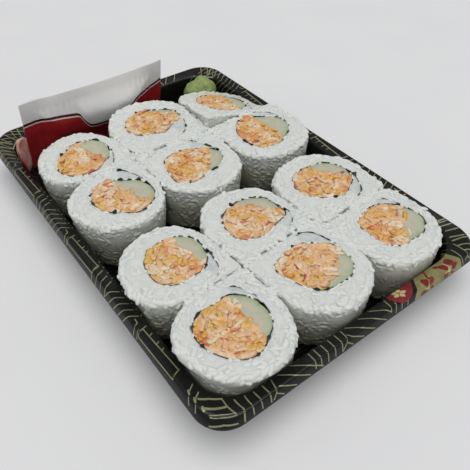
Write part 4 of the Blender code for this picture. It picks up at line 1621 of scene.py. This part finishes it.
def build_fillings(roll, materials):
    angle = math.radians(roll.avocado_angle)
    normal = (math.cos(angle), math.sin(angle))
    offset = roll.ring_x * normal[0] + roll.ring_y * normal[1] + roll.avocado_reach
    outline = filling_outline(roll)
    crab = clip(outline, normal, offset - 0.05)
    build_crab(roll, crab, outline, (normal, offset), materials["crab"])
    build_avocado(roll, clip(outline, (-normal[0], -normal[1]), -offset - 0.05), materials["avocado"])


# The sachet


# x and height up the sheet of the line that parts the printed field from the bare film
SACHET_LINE = (
    (-57, 29.6), (-46, 29.8), (-30, 27.5), (-27, 26.0), (-25, 21.6), (-22, 17.5), (-18.7, 16.3), (-11, 15.6),
    (-4.8, 15.9), (2.5, 19.6), (6.7, 24.7), (14.8, 26.8), (25, 30.2),
)
PALE_LINE = 0.75
DARK_STRIP = 1.5
SACHET_COLUMNS = 120
SACHET_FIELD_ROWS = 22
SACHET_BARE_ROWS = 20
BARE, RED, PALE, DARK = range(4)  # places of the films among the sachet's materials


def smooth_line(knots, x):
    """Height of a smooth line through knots at x."""
    for i in range(len(knots) - 1):
        if x <= knots[i + 1][0] or i == len(knots) - 2:
            break
    (x0, y0), (x1, y1) = knots[i], knots[i + 1]
    before = knots[max(i - 1, 0)]
    after = knots[min(i + 2, len(knots) - 1)]
    share = (x - x0) / (x1 - x0)
    slope0 = (y1 - before[1]) / (x1 - before[0]) * (x1 - x0)
    slope1 = (after[1] - y0) / (after[0] - x0) * (x1 - x0)
    share2 = share * share
    share3 = share2 * share
    return (
        (2 * share3 - 3 * share2 + 1) * y0 + (share3 - 2 * share2 + share) * slope0
        + (3 * share2 - 2 * share3) * y1 + (share3 - share2) * slope1
    )


def sachet_levels(x):
    """Heights of the sheet's rows at x, with the material of the band above each."""
    line = smooth_line(SACHET_LINE, x)
    levels = [(line * j / SACHET_FIELD_ROWS, RED) for j in range(SACHET_FIELD_ROWS)]
    levels += [(line, PALE), (line + PALE_LINE, DARK), (line + PALE_LINE + DARK_STRIP / 2, DARK)]
    levels += [(line + PALE_LINE + DARK_STRIP, PALE)]
    start = line + PALE_LINE * 1.7 + DARK_STRIP
    levels += [
        (start + (SACHET_HEIGHT - start) * j / SACHET_BARE_ROWS, BARE) for j in range(SACHET_BARE_ROWS + 1)
    ]
    return levels


def sachet_point(across, up, face):
    """A point of the sachet's front (face -1) or back (face 1), with creases at its ends."""
    x = SACHET_CENTRE_X + (across - 0.5) * SACHET_WIDTH
    edge = min(
        across * SACHET_WIDTH - SACHET_SEAL,
        (1 - across) * SACHET_WIDTH - SACHET_SEAL,
        up * SACHET_HEIGHT - SACHET_SEAL,
        (1 - up) * SACHET_HEIGHT - SACHET_SEAL,
    )
    swell = smooth_step(edge / SACHET_SWELL)
    half = 0.18 + (SACHET_EDGE - 0.18 + SACHET_BULGE) * swell
    half += 0.35 * swell * ripple(x, up * SACHET_HEIGHT, 9.0 * face, 9.0)
    pucker = smooth_step((edge + 2) / 4) * (1 - smooth_step((edge - 3) / 9))
    half += 0.30 * pucker * math.sin(1.9 * x + 3 * ripple(x, up * 10, 4.0, 8.0)) * 0.5
    lean = SACHET_TOP_Y - SACHET_FOOT_Y
    rise = math.sqrt(SACHET_HEIGHT**2 - lean**2)
    wave = SACHET_WAVE * math.sin(2.3 * math.pi * across) * up
    left_flap = math.exp(-((across - 0.10) / 0.06) ** 2)
    right_flap = math.exp(-((across - 0.93) / 0.05) ** 2)
    wave += 0.6 * up**3 * (left_flap - right_flap)
    top_dip = 0.9 * math.sin(math.pi * across) * up**6 * (0.6 + 0.4 * math.sin(7 * across))
    y = SACHET_FOOT_Y + lean * up + wave + face * max(half, 0.12)
    return (x, y, ROLL_FLOOR + rise * up - top_dip)


def build_sachet():
    silver = silver_film_painted_highlight_material()
    red = film_material("red_film", (0.34, 0.014, 0.018), (0.45, 0.022, 0.026), 0.28, 0.0)
    pale = film_material("pale_film", (0.74, 0.64, 0.62), (0.82, 0.74, 0.72), 0.30, 0.0)
    dark = film_material("dark_film", (0.045, 0.004, 0.005), (0.07, 0.006, 0.007), 0.28, 0.1)
    vertices = []
    tones = []
    bands = [kind for _, kind in sachet_levels(0)]
    rows = len(bands)
    for face in (-1, 1):
        for column in range(SACHET_COLUMNS + 1):
            across = column / SACHET_COLUMNS
            x = SACHET_CENTRE_X + (across - 0.5) * SACHET_WIDTH
            for height, _ in sachet_levels(x):
                vertices.append(sachet_point(across, height / SACHET_HEIGHT, face))
                # Painted highlight: the tone whitens the swollen middle of the silver film, above the printed
                # field and clear of the end seals.
                over = height - smooth_line(SACHET_LINE, x) - 4.0 + 2.5 * ripple(x, height, 5.0, 12.0)
                middle = smooth_step((across - 0.10) / 0.12) * smooth_step((0.93 - across) / 0.12)
                tones.append(smooth_step(over / 7.0) * middle)

    def index(face, column, row):
        return (face * (SACHET_COLUMNS + 1) + column) * rows + row

    faces = []
    kinds = []
    for face in (0, 1):
        for column in range(SACHET_COLUMNS):
            for row in range(rows - 1):
                corners = [
                    index(face, column, row), index(face, column + 1, row),
                    index(face, column + 1, row + 1), index(face, column, row + 1),
                ]
                faces.append(tuple(corners if face == 0 else corners[::-1]))
                kinds.append(bands[row])
    border = [(column, 0) for column in range(SACHET_COLUMNS)]
    border += [(SACHET_COLUMNS, row) for row in range(rows - 1)]
    border += [(column, rows - 1) for column in range(SACHET_COLUMNS, 0, -1)]
    border += [(0, row) for row in range(rows - 1, 0, -1)]
    faces += band([index(1, *place) for place in border], [index(0, *place) for place in border], len(border))
    kinds += [bands[min(row, rows - 2)] for _, row in border]
    piece = add_mesh("sachet_pouch", vertices, faces)
    for material in (silver, red, pale, dark):
        piece.data.materials.append(material)
    piece.data.polygons.foreach_set("material_index", kinds)
    add_tone(piece, tones)
    turn_outward(piece)
    dress(piece, "sachet_film", "sachet")


# Wasabi and ginger


def sphere(columns, rows):
    """Directions over a ball and its faces."""
    directions = [Vector((0, 0, -1))]
    for row in range(1, rows):
        tilt = math.pi * row / rows - math.pi / 2
        for column in range(columns):
            turn = 2 * math.pi * column / columns
            directions.append(
                Vector((math.cos(tilt) * math.cos(turn), math.cos(tilt) * math.sin(turn), math.sin(tilt)))
            )
    directions.append(Vector((0, 0, 1)))
    faces = []
    for column in range(columns):
        following = (column + 1) % columns
        faces.append((0, 1 + following, 1 + column))
        for row in range(rows - 2):
            start = 1 + row * columns
            above = start + columns
            faces.append((start + column, start + following, above + following, above + column))
        start = 1 + (rows - 2) * columns
        faces.append((start + column, start + following, len(directions) - 1))
    return directions, faces


def build_wasabi(material):
    directions, faces = sphere(120, 80)
    vertices = []
    for direction in directions:
        lump = 1 + 0.10 * noise.noise(direction * 1.7 + Vector((3.1, 0.4, 7.7)))
        lump += 0.035 * noise.noise(direction * 5.0) + 0.016 * noise.noise(direction * 13.0)
        fold = math.exp(-((direction.x + 0.25 * direction.y + 0.1) / 0.16) ** 2)
        lump -= 0.07 * fold * max(direction.z + 0.4, 0.0)
        peak = 1 + 0.12 * smooth_step(direction.x) * max(direction.z, 0)
        place = [c + h * d * lump for c, h, d in zip(WASABI_CENTRE, WASABI_HALF_SIZE, direction)]
        place[2] = WASABI_CENTRE[2] + (place[2] - WASABI_CENTRE[2]) * peak
        place[2] = max(place[2], ROLL_FLOOR)
        vertices.append(tuple(place))
    piece = add_mesh("wasabi_lump", vertices, faces, material)
    turn_outward(piece)
    dress(piece, "wasabi", "wasabi")


GINGER_SLICES = 4


def corner_place(turn, depth, height):
    """A point in the far left corner, some depth in front of the tray's wall."""
    inset = wall_inset(height)
    corner = corner_radius(inset)
    away = corner - GAP - depth
    middle_x = TRAY_WIDTH / 2 - inset - corner
    middle_y = TRAY_LENGTH / 2 - inset - corner
    return (-middle_x + away * math.cos(turn), middle_y + away * math.sin(turn), height)


def build_ginger(material):
    """Thin slices that lie folded against the wall of the tray's corner."""
    vertices = []
    faces = []
    tones = []
    columns = 30
    rows = 26
    for number in range(GINGER_SLICES):
        draw = random.Random(SEEDS["ginger"] + number)
        layer = (number + 0.5) / GINGER_SLICES
        width = GINGER_TURN[1] * draw.uniform(0.80, 0.96)
        tall = GINGER_HEIGHT[1] * draw.uniform(0.86, 0.97)
        phase = draw.uniform(0, 2 * math.pi)
        start = len(vertices)
        for face in (-1, 1):
            for i in range(columns + 1):
                for j in range(rows + 1):
                    u = 2 * i / columns - 1
                    v = 2 * j / rows - 1
                    round_u = u * math.sqrt(1 - 0.5 * v * v)
                    round_v = v * math.sqrt(1 - 0.5 * u * u)
                    fold = 0.22 * math.sin(4.2 * round_u + 1.5 * round_v + phase)
                    fold += 0.12 * math.sin(6.5 * round_v + 2 * phase)
                    edge = max(abs(u), abs(v))
                    thick = 0.24 * (1 - edge**8) + 0.05
                    depth = 0.35 + 1.8 * GINGER_DEPTH * layer * (1 - 0.3 * edge) + fold + face * thick
                    sway = 3 * math.sin(2.2 * round_v + phase)
                    turn = math.radians(GINGER_TURN[0] - width * round_u - sway)
                    height = GINGER_HEIGHT[0] + tall * round_v
                    place = corner_place(turn, max(depth, 0.02 * number), max(height, ROLL_FLOOR))
                    vertices.append(place)
                    tones.append(min(max(0.35 - 0.55 * round_u + 0.35 * ripple(*place, 4.0), 0.0), 1.0))
        count = (columns + 1) * (rows + 1)

        def index(face, i, j):
            return start + face * count + i * (rows + 1) + j

        for face in (0, 1):
            for i in range(columns):
                for j in range(rows):
                    places = ((i, j), (i + 1, j), (i + 1, j + 1), (i, j + 1))
                    faces.append(tuple(index(face, *place) for place in places))
        border = [(i, 0) for i in range(columns)] + [(columns, j) for j in range(rows)]
        border += [(i, rows) for i in range(columns, 0, -1)] + [(0, j) for j in range(rows, 0, -1)]
        front = [index(0, *place) for place in border]
        back = [index(1, *place) for place in border]
        faces += band(front, back, len(border))
    piece = add_mesh("ginger_slices", vertices, faces, material)
    add_tone(piece, tones)
    turn_outward(piece)
    dress(piece, "ginger", "ginger")


# Stage


def build_stage():
    half = 3000.0
    floor = add_mesh(
        "floor", ((-half, -half, 0), (half, -half, 0), (half, half, 0), (-half, half, 0)), [(0, 1, 2, 3)],
        floor_material(), smooth=False
    )


def add_sun(name, azimuth, elevation, spread_angle, strength, colour):
    """A distant soft light. Azimuth is where it comes from, anticlockwise from +X."""
    light = bpy.data.lights.new(name, "SUN")
    light.angle = math.radians(spread_angle)
    light.energy = strength
    light.color = colour
    lamp = bpy.data.objects.new(name, light)
    bpy.context.scene.collection.objects.link(lamp)
    turn = math.radians(azimuth)
    tilt = math.radians(elevation)
    back = Vector((math.cos(turn) * math.cos(tilt), math.sin(turn) * math.cos(tilt), math.sin(tilt)))
    lamp.rotation_euler = back.to_track_quat("Z", "Y").to_euler()


def build_lights():
    world = bpy.data.worlds.new("studio")
    bpy.context.scene.world = world
    world.use_nodes = True
    background = world.node_tree.nodes["Background"]
    background.inputs["Color"].default_value = (0.95, 0.965, 1.0, 1.0)
    background.inputs["Strength"].default_value = 0.33
    add_sun("window", -115, 77, 66, 1.85, (1.0, 0.997, 0.99))


def build_camera():
    azimuth, elevation, roll = CAMERA_AZIMUTH, CAMERA_ELEVATION, CAMERA_ROLL
    back = Vector((
        math.sin(azimuth) * math.cos(elevation), -math.cos(azimuth) * math.cos(elevation), math.sin(elevation)
    ))
    right = (-back).cross(Vector((0, 0, 1))).normalized()
    up = right.cross(-back)
    turned_right = right * math.cos(roll) + up * math.sin(roll)
    turned_up = up * math.cos(roll) - right * math.sin(roll)
    camera = bpy.data.cameras.new("camera")
    camera.lens = CAMERA_LENS
    camera.sensor_width = CAMERA_SENSOR
    camera.clip_start = 0.01
    holder = bpy.data.objects.new("camera", camera)
    bpy.context.scene.collection.objects.link(holder)
    place = Matrix((turned_right, turned_up, back)).transposed().to_4x4()
    place.translation = Vector(CAMERA_PLACE) * MM
    holder.matrix_world = place
    bpy.context.scene.camera = holder


def main():
    build_camera()
    build_lights()
    build_stage()
    bpy.context.scene.view_settings.view_transform = "Standard"
    build_tray(plastic_material())
    build_print()
    rice = {"core": rice_material("rice_body", 0.6), "grains": rice_material("rice_grain", 0.0)}
    nori = nori_material()
    fillings = {"crab": crab_material(), "avocado": avocado_material()}
    for roll in ROLLS:
        build_rice(roll, rice)
        build_nori(roll, nori)
        build_fillings(roll, fillings)
    build_sachet()
    build_wasabi(wasabi_material())
    build_ginger(ginger_material())


main()
